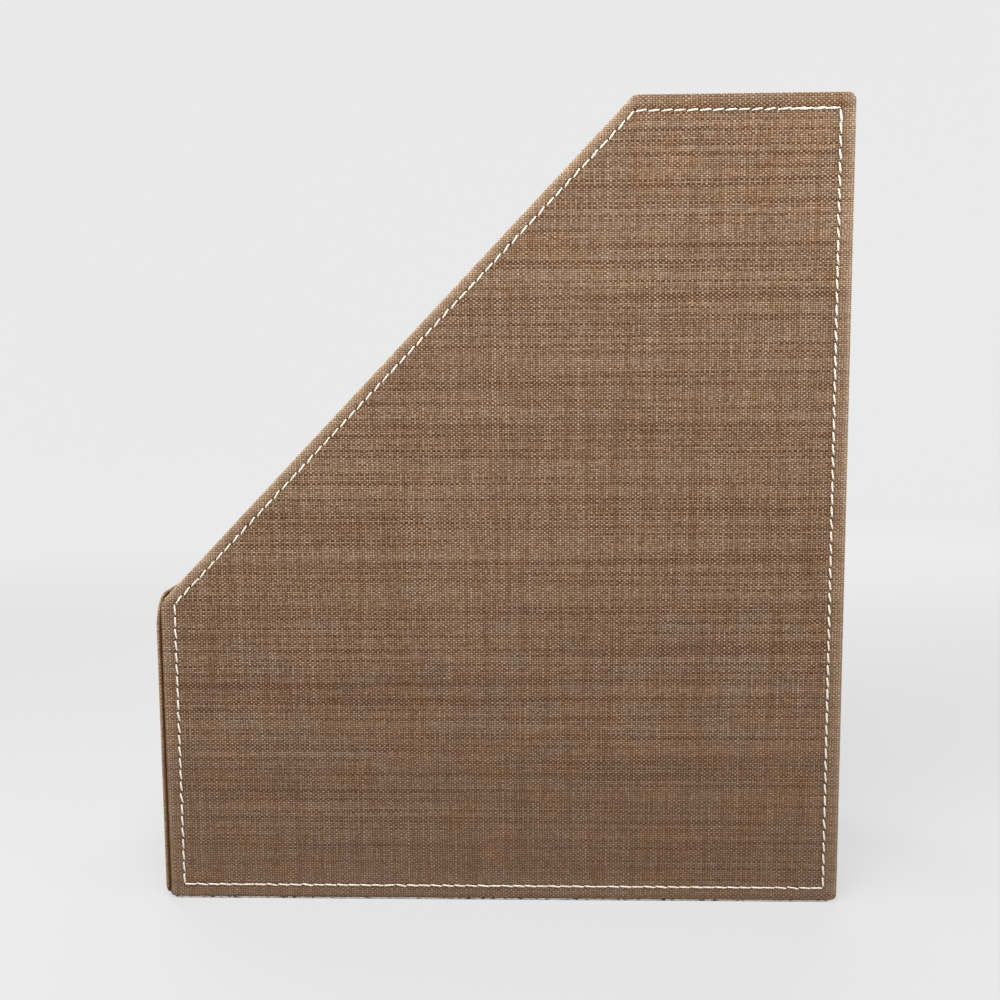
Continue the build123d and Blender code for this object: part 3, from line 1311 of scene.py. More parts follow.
@dataclass
class WrappedCover:
    """The cloth of one wall: its outer face, rolled edges and turned-in strips, as one sheet.

    Attributes:
        name: the name of the wall.
        outline: the wall's outline and seam.
        place: the wall's place in the holder.
        thickness: the wall's thickness in all.
        cloth: the cloth's thickness.
        roll: the radius of its rolled edge.
        roll_steps: how finely each roll is divided.
        turn_in: how far it is turned in on the inner face.
        seam_reach: how far inside the seam the cloth is flat again.
        seam_depth: how deep the seam draws the cloth down.
        hole_depth: how much deeper it is at a needle hole.
        crease_shade_run: the share of the roll over which the painted shade of a crease sets in.
        swell: how far the board and cloth bulge or sink across the wall.
        swell_length: the distance over which they do.
        swell_start: how far inside the seam the swell is full.
        outer_creases: the sides whose outer roll lies in the crease at another wall.
        inner_creases: the sides whose inner roll does.
        rubs_and_highlights: how much paler each side's edge is, from 0 to 1: partly rubbing and partly
            painted highlight.
        stitched: whether the wall has a seam.
        seed: the number that the wall's uneven places come from.
    """

    name: str
    outline: PanelOutline
    place: Matrix
    thickness: float
    cloth: float = 0.35
    roll: float = 0.6
    roll_steps: int = 4
    turn_in: float = 14.0
    seam_reach: float = 2.6
    seam_depth: float = 0.10
    hole_depth: float = 0.14
    crease_shade_run: float = 0.12
    swell: float = 0.12
    swell_length: float = 70.0
    swell_start: float = 30.0
    outer_creases: tuple[int, ...] = ()
    inner_creases: tuple[int, ...] = ()
    rubs_and_highlights: tuple[float, ...] = (0.2, 0.4, 0.6, 0.4)
    stitched: bool = True
    seed: int = 1

    def rings(self) -> list[Ring]:
        """The lines that the cover is drawn through, from inside the seam to the turned-in strips' ends."""
        return self.seam_rings() + self.outer_rings() + self.inner_rings()

    def seam_rings(self) -> list[Ring]:
        """The lines on both sides of the seam, which the thread presses down.

        Returns:
            The lines, from the innermost one outward.
        """
        press = 1.0 if self.stitched else 0.0
        return [
            Ring(1, self.seam_reach, 0.0),
            Ring(1, 1.3, 0.02 * press),
            Ring(1, 0.65, 0.03 * press, press=0.15 * press),
            Ring(1, 0.28, 0.0, press=0.7 * press),
            Ring(1, 0.0, 0.0, press=press),
            Ring(1, -0.28, 0.0, press=0.7 * press),
            Ring(1, -0.65, 0.03 * press, press=0.15 * press, edge_mark=0.15),
            Ring(1, -1.3, 0.02 * press, edge_mark=0.22),
        ]

    def outer_rings(self) -> list[Ring]:
        """The lines from the face over the outer roll, which is the palest: rubbed the most and given the
        most painted highlight.

        Returns:
            The lines, in the order in which the cloth passes them.
        """
        rings = [
            Ring(0, 2.0, 0.0, edge_mark=0.35),
            Ring(0, 1.1, 0.0, edge_mark=0.7),
            Ring(0, self.roll, 0.0, edge_mark=0.9),
        ]
        for step, edge_mark in zip(range(1, self.roll_steps + 1), (1.0, 1.0, 0.8, 0.3)):
            angle = math.pi / 2 * step / self.roll_steps
            inset = self.roll * (1 - math.sin(angle))
            level = -self.roll * (1 - math.cos(angle))
            rings.append(Ring(0, inset, level, flat_inset=self.roll * (1 - angle), edge_mark=edge_mark))
        return rings

    def inner_rings(self) -> list[Ring]:
        """The lines over the inner roll and along the turned-in strips.

        Returns:
            The lines, in the order in which the cloth passes them.
        """
        quarter = self.roll * math.pi / 2
        roll_start = 3 * self.roll - quarter - self.thickness
        rings = []
        for step in range(self.roll_steps + 1):
            angle = math.pi / 2 * step / self.roll_steps
            inset = self.roll * (1 - math.cos(angle))
            level = -self.thickness + self.roll * (1 - math.sin(angle))
            rings.append(Ring(0, inset, level, flat_inset=roll_start - self.roll * angle, edge_mark=0.1))
        strip_start = roll_start - quarter + self.roll
        for inset in (self.turn_in / 3, self.turn_in):
            rings.append(Ring(0, inset, -self.thickness, flat_inset=strip_start - inset))
        return rings

    def pulled_level(self, ring: Ring, hole_number: float) -> float:
        """The level of a ring at a place along the seam, where the thread draws it down."""
        nearness = (0.5 + 0.5 * math.cos(2 * math.pi * hole_number)) ** 2
        return ring.level - ring.press * (self.seam_depth + self.hole_depth * nearness)

    def crease_shade_share(self, ring: Ring, sides: set[int]) -> float:
        """How much painted shade a ring gets where it runs along the given sides, by how deep in a crease it
        lies, from 0 to 1.

        Args:
            ring: the ring.
            sides: the sides that it touches there.

        Returns:
            The share of painted shade, where 0 is outside any crease.
        """
        depth = -ring.level
        run = self.crease_shade_run * self.roll
        if sides & set(self.outer_creases) and ring.inset < self.roll:
            return smooth_step(depth / run)
        if sides & set(self.inner_creases):
            return smooth_step((depth - self.thickness + self.roll) / run)
        return 0.0

    def mesh(self) -> BMesh:
        """The cover as an open sheet with its maps, in the wall's own frame.

        Returns:
            The mesh, in millimetres.
        """
        rings = self.rings()
        numbers = self.outline.hole_numbers()
        bm = bmesh.new()
        for layer in (EDGE_MARK, CREASE_SHADE):
            bm.verts.layers.float.new(layer)
        edge_mark, crease = (bm.verts.layers.float[layer] for layer in (EDGE_MARK, CREASE_SHADE))
        bm.loops.layers.uv.new(CLOTH_MAP)
        bm.loops.layers.uv.new(SEAM_MAP)
        verts = bmesh.ops.create_circle(bm, cap_ends=False, segments=len(numbers), radius=1.0)["verts"]
        rows = [list(verts)]
        for _ in rings[1:]:
            rows.append(grown_ring(bm, rows[-1]))
        sides = self.outline.sides_of_points()
        for ring, row in zip(rings, rows):
            line = self.outline.line(self.outline.insets(ring))
            for vert, point, number, touching in zip(row, line, numbers, sides):
                vert.co = (point.x, point.y, self.pulled_level(ring, number))
                # The crease gets painted shade, and the paler edge colour gives way to it there.
                vert[crease] = self.crease_shade_share(ring, touching)
                # The edge is painted paler, partly for wear and partly as a highlight, by the amount given
                # for each side.
                rub_and_highlight = sum(self.rubs_and_highlights[side] for side in touching) / len(touching)
                vert[edge_mark] = ring.edge_mark * rub_and_highlight * (1 - vert[crease])
        middle = bmesh.ops.edgeloop_fill(bm, edges=ring_edges(rows[0]))["faces"]
        bm.faces.ensure_lookup_table()
        bmesh.ops.recalc_face_normals(bm, faces=bm.faces)
        if middle[0].normal.z < 0:
            bmesh.ops.reverse_faces(bm, faces=bm.faces)
        self.draw_maps(bm, rings, rows, numbers)
        self.swell_middle(bm, middle)
        bmesh.ops.remove_doubles(bm, verts=bm.verts, dist=0.001)
        return bm

    def draw_maps(
        self,
        bm: BMesh,
        rings: list[Ring],
        rows: list[list[BMVert]],
        numbers: list[float],
    ) -> None:
        """Draws the map of the flat cloth and the map along the seam.

        Args:
            bm: the mesh in the making.
            rings: the lines that it was drawn through.
            rows: the vertices on each line.
            numbers: the place of each point along the seam, in stitches.
        """
        cloth_map, seam_map = bm.loops.layers.uv[CLOTH_MAP], bm.loops.layers.uv[SEAM_MAP]
        total = float(self.outline.stitch_total())
        flat, aside, along = {}, {}, {}
        for ring, row in zip(rings, rows):
            insets = self.outline.insets(ring)
            if ring.flat_inset is not None:
                insets = [ring.flat_inset] * len(insets)
            offset = ring.inset if ring.seam_share else BEYOND_SEAM
            for vert, point, number in zip(row, self.outline.line(insets), numbers):
                flat[vert], aside[vert], along[vert] = point, offset, number
        for face in bm.faces:
            # The last face of a band closes it, so there the count runs on instead of starting anew.
            reach = [along[vert] for vert in face.verts]
            last = len(face.verts) == 4 and max(reach) - min(reach) > total / 2
            for loop in face.loops:
                number = along[loop.vert]
                loop[cloth_map].uv = flat[loop.vert]
                loop[seam_map].uv = (total if last and number == 0.0 else number, aside[loop.vert])

    def swell_middle(self, bm: BMesh, faces: list[BMFace], spacing: float = 9.0) -> None:
        """Cuts the flat middle into squares and lets it swell and sink a little.

        Args:
            bm: the mesh in the making.
            faces: the flat middle, as one face.
            spacing: the size of the squares.
        """
        edge_verts = {vert for face in faces for vert in face.verts}
        for axis in (Vector((1, 0, 0)), Vector((0, 1, 0))):
            reach = [vert.co.dot(axis) for vert in edge_verts]
            place = min(reach) + spacing
            while place < max(reach):
                verts = {vert for face in faces for vert in face.verts}
                edges = {edge for face in faces for edge in face.edges}
                cut = bmesh.ops.bisect_plane(
                    bm,
                    geom=[*verts, *edges, *faces],
                    dist=0.0001,
                    plane_co=axis * place,
                    plane_no=axis,
                )
                faces = [item for item in cut["geom"] if isinstance(item, BMFace)]
                place += spacing
        for vert in {vert for face in faces for vert in face.verts}:
            inside = self.outline.depth_inside_seam(vert.co.xy) - self.seam_reach
            if inside > 0.01:
                where = Vector((vert.co.x, vert.co.y, self.seed * 100)) / self.swell_length
                vert.co.z += self.swell * noise.noise(where) * smooth_step(inside / self.swell_start)

    def flat_size(self) -> tuple[float, float, float]:
        """The size of the cloth before it was wrapped.

        Returns:
            Its width and length in metres, and its area in square metres.
        """
        sides = len(self.outline.corners)
        edge = self.outline.line([self.rings()[-1].flat_inset] * sides)
        width = max(point.x for point in edge) - min(point.x for point in edge)
        length = max(point.y for point in edge) - min(point.y for point in edge)
        face = area_inside(self.outline.line([0.0] * sides))
        window = area_inside(self.outline.line([self.turn_in] * sides))
        return width * MM, length * MM, (2 * face - window) * MM * MM

    def build(self, cloth: Material) -> Object:
        """Builds the cover, wraps it round its board and dresses it.

        Args:
            cloth: the finish of the cloth.

        Returns:
            The cover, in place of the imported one.
        """
        node = node_name(self.name, "cover")
        piece = placed_object(f"{self.name}_cloth", self.mesh(), self.place, [cloth])
        shell = piece.modifiers.new("cloth_thickness", "SOLIDIFY")
        shell.thickness = self.cloth * MM
        shell.offset = -1.0
        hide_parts(node)
        width, length, area = self.flat_size()
        return piece


def node_name(wall: str, layer: str) -> str:
    """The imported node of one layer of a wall, such as side_cover_right for the right side's cover."""
    first, _, hand = wall.partition("_")
    return f"{first}_{layer}_{hand}" if hand else f"{first}_{layer}"


@dataclass(frozen=True)
class Stitch:
    """One stitch.

    Attributes:
        middle: its middle on the wall.
        turn: its direction in radians.
        length: its length.
        plumpness: its thickness, where 1 is the usual one.
        lift: how much higher than the others it lies.
    """

    middle: Vector
    turn: float
    length: float
    plumpness: float
    lift: float = 0.0


@dataclass
class StitchLine:
    """The cream stitches of one wall, each a plump bar of thread between two needle holes.

    Attributes:
        name: the name of the wall.
        outline: the wall's outline and seam.
        place: the wall's place in the holder.
        slants: how far the stitches of each side turn from the seam, in degrees.
        gaps: the bare cloth between two stitches of each side.
        start_corner: the corner next to which the sewing starts and ends.
        width: the thread's width.
        height: its height over the face.
        sink: how far its ends go down into the needle holes.
        bluntness: how long it keeps its full width toward the ends.
        wobble: how unevenly the stitches are turned, in degrees.
        length_range: how short and long they are, where 1 is the usual length.
        plumpness_range: how thin and thick they are.
        doubled: how many stitches after the start are sewn over twice.
        stray_aside: how far a second stitch strays from the seam.
        stray_along: how far it strays along it, in stitches.
        double_lift: how much higher than the first one it lies.
        seed: the number that the stitches' small differences come from.
    """

    name: str
    outline: PanelOutline
    place: Matrix
    slants: list[float]
    gaps: list[float]
    start_corner: int = 0
    width: float = 0.72
    height: float = 0.32
    sink: float = 0.40
    bluntness: float = 4.5
    wobble: float = 2.8
    length_range: tuple[float, float] = (0.97, 1.04)
    plumpness_range: tuple[float, float] = (0.92, 1.06)
    doubled: int = 5
    stray_aside: float = 0.26
    stray_along: float = 0.35
    double_lift: float = 0.12
    seed: int = 3

    def stitch_blank(self) -> Mesh:
        """A ball with a map round it and along it, which every stitch is shaped from.

        Returns:
            The ball, with a radius of 1.
        """
        bm = bmesh.new()
        bm.loops.layers.uv.new(SEAM_MAP)
        bmesh.ops.create_uvsphere(bm, u_segments=8, v_segments=8, radius=1.0, calc_uvs=True)
        blank = bpy.data.meshes.new("stitch_blank")
        bm.to_mesh(blank)
        bm.free()
        return blank

    def add_stitch(self, bm: BMesh, blank: Mesh, stitch: Stitch) -> None:
        """Adds one stitch to the mesh.

        Args:
            bm: the mesh in the making.
            blank: the ball that it is shaped from.
            stitch: its place and size.
        """
        laid = len(bm.verts)
        bm.from_mesh(blank)
        bm.verts.ensure_lookup_table()
        ahead = Vector((math.cos(stitch.turn), math.sin(stitch.turn)))
        beside = Vector((-ahead.y, ahead.x))
        for vert in bm.verts[laid:]:
            share = vert.co.z
            belt = math.sqrt(max(1 - share**2, 1e-6))
            fullness = math.sqrt(max(1 - abs(share) ** self.bluntness, 0.0)) * stitch.plumpness
            spot = stitch.middle + ahead * (share * stitch.length / 2)
            spot += beside * (vert.co.x / belt * fullness * self.width / 2)
            centre = stitch.lift + self.height / 4 - self.sink * abs(share) ** 4
            vert.co = (spot.x, spot.y, centre + vert.co.y / belt * fullness * self.height * 3 / 4)

    def stitches(self) -> list[Stitch]:
        """Every stitch of the wall, with its small differences from the others.

        Returns:
            The stitches, each second stitch right after the one that it lies on.
        """
        chance = random.Random(self.seed)
        steps = self.outline.seam_steps()
        start = next(number for number, step in enumerate(steps) if step.side == self.start_corner)
        laid = []
        for number, step in enumerate(steps):
            run = step.end - step.start
            slant = self.slants[step.side] + chance.gauss(0, self.wobble)
            stitch = Stitch(
                middle=(step.start + step.end) / 2,
                turn=math.atan2(run.y, run.x) + math.radians(slant),
                length=(run.length - self.gaps[step.side]) * chance.uniform(*self.length_range),
                plumpness=chance.uniform(*self.plumpness_range),
            )
            laid.append(stitch)
            if -1 <= number - start < self.doubled:
                aside = Vector((-run.y, run.x)).normalized()
                shift = aside * chance.uniform(-self.stray_aside, self.stray_aside)
                shift += run * chance.uniform(-self.stray_along, self.stray_along)
                laid.append(replace(stitch, middle=stitch.middle + shift, lift=self.double_lift))
        return laid

    def build(self, thread: Material) -> Object:
        """Builds every stitch of the wall.

        Args:
            thread: the finish of the thread.

        Returns:
            The stitches as one piece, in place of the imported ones.
        """
        bm = bmesh.new()
        blank = self.stitch_blank()
        for stitch in self.stitches():
            self.add_stitch(bm, blank, stitch)
        bpy.data.meshes.remove(blank)
        bmesh.ops.remove_doubles(bm, verts=bm.verts, dist=0.0001)
        bmesh.ops.recalc_face_normals(bm, faces=bm.faces)
        if self.place.determinant() < 0:
            bmesh.ops.reverse_faces(bm, faces=bm.faces)
        piece = placed_object(f"{self.name}_stitches", bm, self.place, [thread])
        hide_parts(node_name(self.name, "stitching"))
        return piece


@dataclass
class BaseSheet:
    """The pale felt under the base, with a slightly uneven cut edge.

    Attributes:
        low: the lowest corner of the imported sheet.
        high: its highest corner.
        proud: how much further out the loose cut edge reaches.
        corner_radius: the rounding of its corners.
        ragged: how far the cut edge wanders.
        ragged_length: the distance over which it does.
        edge_pitch: the length of edge that gets as many points as a stitch of a seam.
        inner_inset: how far inside the edge the flat middle starts.
        seed: the number that its uneven edge comes from.
    """

    low: Vector
    high: Vector
    proud: float = 0.35
    corner_radius: float = 3.0
    ragged: float = 0.30
    ragged_length: float = 3.1
    edge_pitch: float = 2.4
    inner_inset: float = 4.0
    seed: int = 5

    def cut_corners(self) -> tuple[Vector, Vector]:
        """The lowest and highest corner of the felt as it was cut."""
        reach = Vector((self.proud, self.proud, 0))
        return self.low - reach, self.high + reach

    def profile(self) -> list[tuple[float, float, float]]:
        """The lines that the felt is drawn through, from its lower face over the cut edge to the upper one.

        Returns:
            For each line its inset, its share of the thickness and how soiled it is.
        """
        return [
            (self.inner_inset, 0.0, 0.0),
            (0.25, 0.0, 0.6),
            (0.0, 0.3, 1.0),
            (0.1, 0.7, 1.0),
            (0.35, 1.0, 0.6),
            (self.inner_inset, 1.0, 0.0),
        ]

    def mesh(self) -> BMesh:
        """The felt as a closed slab, in millimetres in the holder's frame.

        Returns:
            The mesh.
        """
        low, high = self.cut_corners()
        corners = rectangle(low.xy, high.xy)
        outline = PanelOutline(corners, [self.corner_radius] * 4, [0.0] * 4, self.edge_pitch)
        bm = bmesh.new()
        edge_mark = bm.verts.layers.float.new(EDGE_MARK)
        count = len(outline.hole_numbers())
        rows = [list(bmesh.ops.create_circle(bm, cap_ends=False, segments=count, radius=1.0)["verts"])]
        for _ in self.profile()[1:]:
            rows.append(grown_ring(bm, rows[-1]))
        for (inset, share, soil), row in zip(self.profile(), rows):
            for vert, point in zip(row, outline.line([inset] * 4)):
                where = (point.x / self.ragged_length, point.y / self.ragged_length, share + self.seed)
                fray = self.ragged * abs(noise.noise(Vector(where))) * soil
                frayed = point - Vector((math.copysign(fray, point.x), math.copysign(fray, point.y)))
                vert.co = (frayed.x, frayed.y, low.z + (high.z - low.z) * share)
                vert[edge_mark] = soil
        for row in (rows[0], rows[-1]):
            open_edges = [edge for edge in ring_edges(row) if len(edge.link_faces) < 2]
            bmesh.ops.edgeloop_fill(bm, edges=open_edges)
        bmesh.ops.remove_doubles(bm, verts=bm.verts, dist=0.001)
        bmesh.ops.recalc_face_normals(bm, faces=bm.faces)
        return bm

    def build(self, felt: Material) -> Object:
        """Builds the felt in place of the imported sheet.

        Args:
            felt: its finish.

        Returns:
            The felt.
        """
        piece = placed_object("base_felt", self.mesh(), Matrix.Identity(4), [felt])
        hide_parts("base_sheet")
        return piece


@dataclass(frozen=True)
class Wall:
    """One wall of the holder.

    Attributes:
        outline: its outline and seam.
        place: its place in the holder.
        thickness: its thickness in all.
    """

    outline: PanelOutline
    place: Matrix
    thickness: float


@dataclass
class FileHolder:
    """The whole holder: five wrapped walls, their stitches and linings, and the felt under the base.

    Attributes:
        slope_foot: the height of the slope's lower end at the front face.
        top_edge: the length of the side's flat top.
        stitch_pitch: the usual distance between needle holes.
        upright_slant: the turn of the stitches, in degrees.
        bottom_slant: the turn of those along the bottom of a side.
        stitch_gap: the bare cloth between two stitches.
        bottom_gap: the same along the bottom of a side.
        side_radii: the rounding of a side's corners, anticlockwise from the lower front one.
        side_margins: how far the seam lies inside each of its edges, from the bottom one on.
        front_radii: the rounding of the front wall's corners.
        back_radii: the rounding of the back wall's corners.
        floor_radii: the rounding of the floor's corners.
        end_margin: how far the seam lies inside the edges of the front and back walls.
        side_rubs_and_highlights: how much paler each edge of a side is, by rubbing and painted highlight.
        front_rubs_and_highlights: the same for each edge of the front wall.
        side_creases: the edges of a side that lie in the groove at the front wall.
        end_creases: the upright edges of the front and back walls, which meet the sides.
        sewing_start: the corner of a side next to which its sewing starts and ends.
    """

    slope_foot: float = 116.0
    top_edge: float = 80.0
    stitch_pitch: float = 4.65
    upright_slant: float = 7.5
    bottom_slant: float = -4.0
    stitch_gap: float = 0.3
    bottom_gap: float = -0.4
    side_radii: tuple[float, ...] = (1.6, 2.2, 3.0, 2.7, 4.0)
    side_margins: tuple[float, ...] = (4.9, 5.4, 5.8, 4.3, 5.7)
    front_radii: tuple[float, ...] = (5.0, 5.0, 12.0, 12.0)
    back_radii: tuple[float, ...] = (3.0, 3.0, 3.0, 3.0)
    floor_radii: tuple[float, ...] = (0.3, 0.3, 0.3, 0.3)
    end_margin: float = 5.5
    # Paler edges, partly wear and partly painted highlight: strongest on the slope, weakest on the top and
    # bottom.
    side_rubs_and_highlights: tuple[float, ...] = (0.2, 0.6, 0.2, 0.85, 0.4)
    front_rubs_and_highlights: tuple[float, ...] = (0.2, 1.0, 0.9, 1.0)
    side_creases: tuple[int, ...] = (4,)
    end_creases: tuple[int, ...] = (1, 3)
    sewing_start: int = 2

    def packed_box(self, node: str) -> tuple[Vector, Vector]:
        """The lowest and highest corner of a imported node, in millimetres."""
        low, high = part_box(node)
        return low / MM, high / MM

    def side_outline(self) -> PanelOutline:
        """The outline of a side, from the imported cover's box and the slope.

        Returns:
            The outline, with its corners anticlockwise from the lower front one.
        """
        low, high = self.packed_box("side_cover_right")
        front_face = self.packed_box("front_cover")[0].x
        slope_top = high.x - self.top_edge
        rise = (high.z - self.slope_foot) / (slope_top - front_face)
        corners = [
            Vector((low.x, low.z)),
            Vector((high.x, low.z)),
            Vector((high.x, high.z)),
            Vector((slope_top, high.z)),
            Vector((low.x, self.slope_foot + rise * (low.x - front_face))),
        ]
        return PanelOutline(corners, list(self.side_radii), list(self.side_margins), self.stitch_pitch)

    def plain_outline(self, node: str, radii: tuple[float, ...], flat: bool = False) -> PanelOutline:
        """The outline of a rectangular wall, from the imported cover's box.

        Args:
            node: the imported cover.
            radii: the rounding of its corners.
            flat: whether the wall lies flat, as the floor does.

        Returns:
            The outline, with the seam at the same distance from every edge.
        """
        low, high = self.packed_box(node)
        corners = rectangle(low.xy, high.xy) if flat else rectangle(low.yz, high.yz)
        return PanelOutline(corners, list(radii), [self.end_margin] * 4, self.stitch_pitch)

    def placed_wall(self, name: str, outline: PanelOutline, along: Vector, outward: Vector) -> Wall:
        """A wall with its outer face at the outer face of its packed cover.

        Args:
            name: the name of the wall.
            outline: its outline and seam.
            along: the direction of the outline's own X.
            outward: the direction that the outer face looks.

        Returns:
            The wall.
        """
        near, far = sorted(corner.dot(outward) for corner in self.packed_box(node_name(name, "cover")))
        return Wall(outline, plane_matrix(outward * far, along, outward), far - near)

    def walls(self) -> dict[str, Wall]:
        """Each wall by its name.

        Returns:
            The walls, in the order in which they are built.
        """
        forward, across, up = Vector((1, 0, 0)), Vector((0, 1, 0)), Vector((0, 0, 1))
        side = self.side_outline()
        front = self.plain_outline("front_cover", self.front_radii)
        back = self.plain_outline("back_cover", self.back_radii)
        floor = self.plain_outline("floor_cover", self.floor_radii, flat=True)
        return {
            "side_right": self.placed_wall("side_right", side, forward, -across),
            "side_left": self.placed_wall("side_left", side, forward, across),
            "front": self.placed_wall("front", front, -across, -forward),
            "back": self.placed_wall("back", back, across, forward),
            "floor": self.placed_wall("floor", floor, forward, up),
        }

    def build_walls(self) -> None:
        """Builds the cloth and the stitches of every wall."""
        cloth = LinenCloth().material(self.stitch_pitch)
        thread = SewingThread().material()
        for seed, (name, wall) in enumerate(self.walls().items()):
            outline, place = wall.outline, wall.place
            stitched = name != "floor"
            is_side = name.startswith("side")
            cover = WrappedCover(name, outline, place, wall.thickness, stitched=stitched, seed=seed)
            if is_side:
                cover.outer_creases, cover.rubs_and_highlights = self.side_creases, self.side_rubs_and_highlights
            elif name == "front":
                cover.inner_creases, cover.rubs_and_highlights = self.end_creases, self.front_rubs_and_highlights
            elif name == "back":
                cover.outer_creases = self.end_creases
            cover.build(cloth)
            if stitched:
                slants = [self.upright_slant] * len(outline.corners)
                gaps = [self.stitch_gap] * len(outline.corners)
                if is_side:
                    # The first edge of every outline is the bottom one.
                    slants[0], gaps[0] = self.bottom_slant, self.bottom_gap
                start = self.sewing_start if is_side else 0
                StitchLine(name, outline, place, slants, gaps, start_corner=start, seed=seed).build(thread)

    def dress_packed_nodes(self) -> None:
        """Gives the linings and the boards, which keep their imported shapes, their finishes."""
        finishes = {"lining": LiningPaper().material(), "board": GreyBoard().material()}
        for name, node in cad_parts.items():
            for layer, finish in finishes.items():
                if layer in name:
                    node.material_slots[0].material = finish
                    log.info("dressed %s", name)

    def build(self) -> None:
        """Builds the whole holder."""
        self.build_walls()
        self.dress_packed_nodes()
        low, high = self.packed_box("base_sheet")
        BaseSheet(low, high).build(NeedleFelt().material())


@dataclass(frozen=True)
class Lamp:
    """One soft square lamp.

    Attributes:
        name: its name.
        place: where it hangs, in metres.
        size: the length of its side in metres.
        watts: its power.
    """

    name: str
    place: tuple[float, float, float]
    size: float
    watts: float

    def build(self, aim: Vector) -> None:
        """Hangs the lamp.

        Args:
            aim: what it points at, in metres.
        """
        data = bpy.data.lights.new(self.name, "AREA")
        data.shape = "SQUARE"
        data.size = self.size
        data.energy = self.watts
        lamp = bpy.data.objects.new(self.name, data)
        lamp.visible_camera = False
        turned = (aim - Vector(self.place)).to_track_quat("-Z", "Y").to_matrix().to_4x4()
        lamp.matrix_world = Matrix.Translation(self.place) @ turned
        bpy.context.scene.collection.objects.link(lamp)


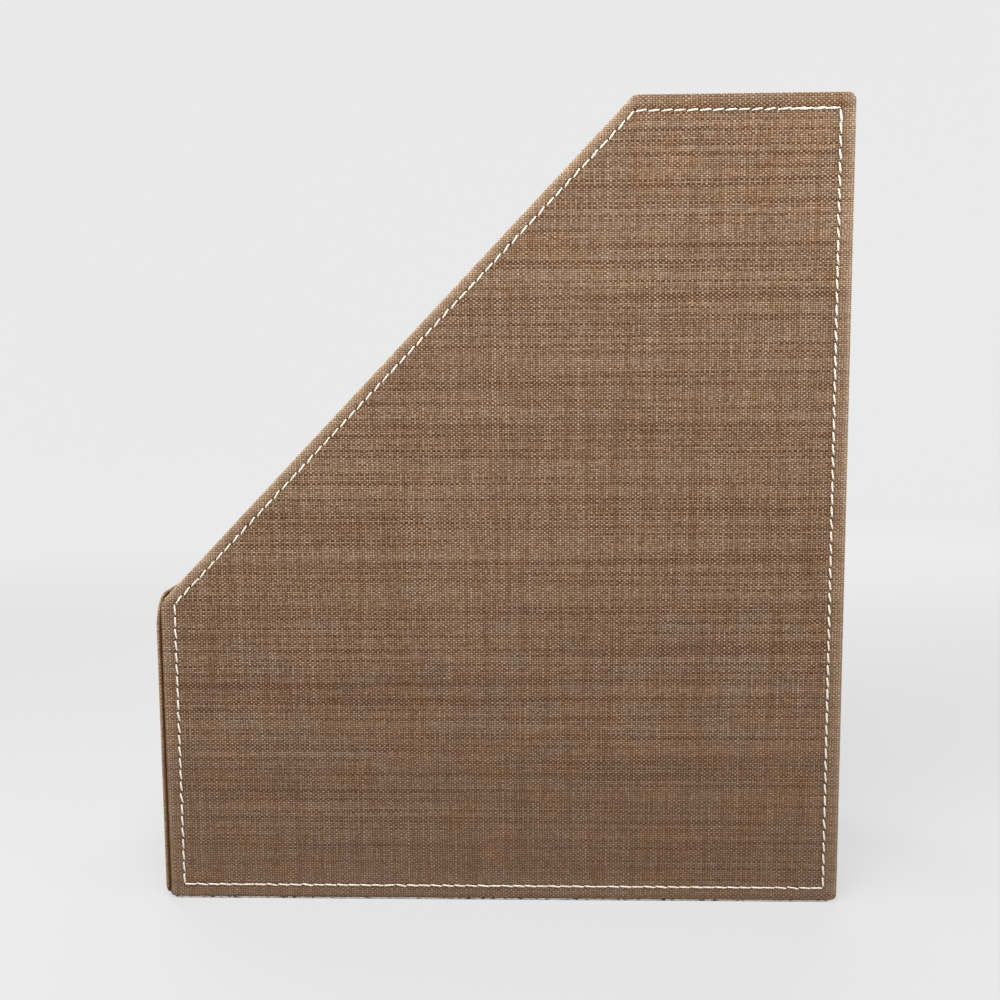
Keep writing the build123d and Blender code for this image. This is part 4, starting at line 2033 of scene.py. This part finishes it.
@dataclass
class Studio:
    """The pale floor and backdrop, the soft light and the camera at the photograph's angle.

    Attributes:
        camera_place: where the camera stands, in millimetres.
        heading: how far the camera turns left of straight on, in degrees.
        downward: how far it looks down.
        roll: how far it leans.
        focal_length: its lens.
        sensor_width: the width of its sensor.
        near_clip: the nearest that it sees, in metres.
        floor_radius: the reach of the flat floor.
        sweep_radius: the rounding between the floor and the wall round it.
        sweep_steps: how finely that rounding is divided.
        wall_height: the height of the wall.
        round_steps: how finely the floor and the wall are divided all round.
        lamps: the lamps.
        lamp_aim: what they all point at, in metres.
        ambient: how bright the light from all round is.
    """

    camera_place: tuple[float, float, float] = (15.23, -499.92, 206.94)
    heading: float = 1.748
    downward: float = 6.293
    roll: float = -0.366
    focal_length: float = 43.2
    sensor_width: float = 36.0
    near_clip: float = 0.01
    floor_radius: float = 1150.0
    sweep_radius: float = 350.0
    sweep_steps: int = 10
    wall_height: float = 1500.0
    round_steps: int = 96
    lamps: tuple[Lamp, ...] = (
        Lamp("key", (-0.04, -0.36, 0.70), size=0.3, watts=5.1),
        Lamp("right_fill", (0.42, -0.22, 0.32), size=0.3, watts=1.3),
        Lamp("left_fill", (-0.55, -0.25, 0.34), size=0.35, watts=2.4),
        Lamp("rear_fill", (0.25, 0.85, 0.60), size=0.7, watts=6.0),
        Lamp("loft_fill", (-0.45, 0.45, 0.80), size=0.5, watts=4.0),
    )
    lamp_aim: tuple[float, float, float] = (0.0, 0.0, 0.15)
    ambient: float = 0.09

    def build_camera(self) -> None:
        """Sets up the camera."""
        data = bpy.data.cameras.new("view")
        data.lens = self.focal_length
        data.sensor_width = self.sensor_width
        data.clip_start = self.near_clip
        camera = bpy.data.objects.new("view", data)
        turned = (
            Matrix.Rotation(math.radians(self.heading), 4, "Z")
            @ Matrix.Rotation(math.radians(90 - self.downward), 4, "X")
            @ Matrix.Rotation(math.radians(self.roll), 4, "Z")
        )
        camera.matrix_world = Matrix.Translation(Vector(self.camera_place) * MM) @ turned
        bpy.context.scene.collection.objects.link(camera)
        bpy.context.scene.camera = camera

    def build_floor(self, paper: Material) -> None:
        """Builds the round floor, which bounces light and takes the shadow.

        Args:
            paper: its finish.
        """
        bm = bmesh.new()
        radius = self.floor_radius * MM
        bmesh.ops.create_circle(bm, cap_ends=True, segments=self.round_steps, radius=radius)
        self.place_stage("floor", bm, paper)

    def build_surround(self, paper: Material) -> None:
        """Builds the wall that sweeps up round the floor, which only the eye sees.

        Args:
            paper: its finish.
        """
        bm = bmesh.new()
        angles = [math.pi / 2 * step / self.sweep_steps for step in range(self.sweep_steps + 1)]
        places = [(math.sin(angle), 1 - math.cos(angle)) for angle in angles]
        profile = [
            bm.verts.new((self.floor_radius + self.sweep_radius * out, 0.0, self.sweep_radius * up))
            for out, up in places
        ]
        profile.append(bm.verts.new((self.floor_radius + self.sweep_radius, 0.0, self.wall_height)))
        edges = [bm.edges.new(pair) for pair in zip(profile, profile[1:])]
        bmesh.ops.spin(
            bm,
            geom=edges,
            cent=(0, 0, 0),
            axis=(0, 0, 1),
            angle=2 * math.pi,
            steps=self.round_steps,
            use_merge=True,
        )
        bmesh.ops.scale(bm, vec=(MM, MM, MM), verts=bm.verts)
        bmesh.ops.recalc_face_normals(bm, faces=bm.faces)
        bmesh.ops.reverse_faces(bm, faces=bm.faces)
        surround = self.place_stage("surround", bm, paper)
        surround.visible_diffuse = False
        surround.visible_shadow = False

    def place_stage(self, name: str, bm: BMesh, paper: Material) -> Object:
        """Turns a mesh in metres into a piece of the stage.

        Args:
            name: the name of the piece.
            bm: the mesh.
            paper: the finish of the piece.

        Returns:
            The piece.
        """
        mesh = bpy.data.meshes.new(name)
        bm.to_mesh(mesh)
        bm.free()
        mesh.shade_smooth()
        mesh.materials.append(paper)
        piece = bpy.data.objects.new(name, mesh)
        bpy.context.scene.collection.objects.link(piece)
        return piece

    def build_light(self) -> None:
        """Lights the holder from the front and above, with a soft fill all round."""
        for lamp in self.lamps:
            lamp.build(Vector(self.lamp_aim))
        world = bpy.data.worlds.new("soft_daylight")
        world.use_nodes = True
        backing = world.node_tree.nodes["Background"]
        backing.inputs["Color"].default_value = paint(255, 255, 255)
        backing.inputs["Strength"].default_value = self.ambient
        bpy.context.scene.world = world

    def build(self) -> None:
        """Builds the whole studio."""
        bpy.context.scene.view_settings.view_transform = "Standard"
        self.build_camera()
        paper = StudioPaper().material()
        self.build_floor(paper)
        self.build_surround(paper)
        self.build_light()


def main() -> None:
    """Builds the holder and the studio in order."""
    logging.basicConfig(level=logging.INFO, format="%(name)s: %(message)s")
    Studio().build()
    FileHolder().build()


if __name__ == "__main__":
    main()
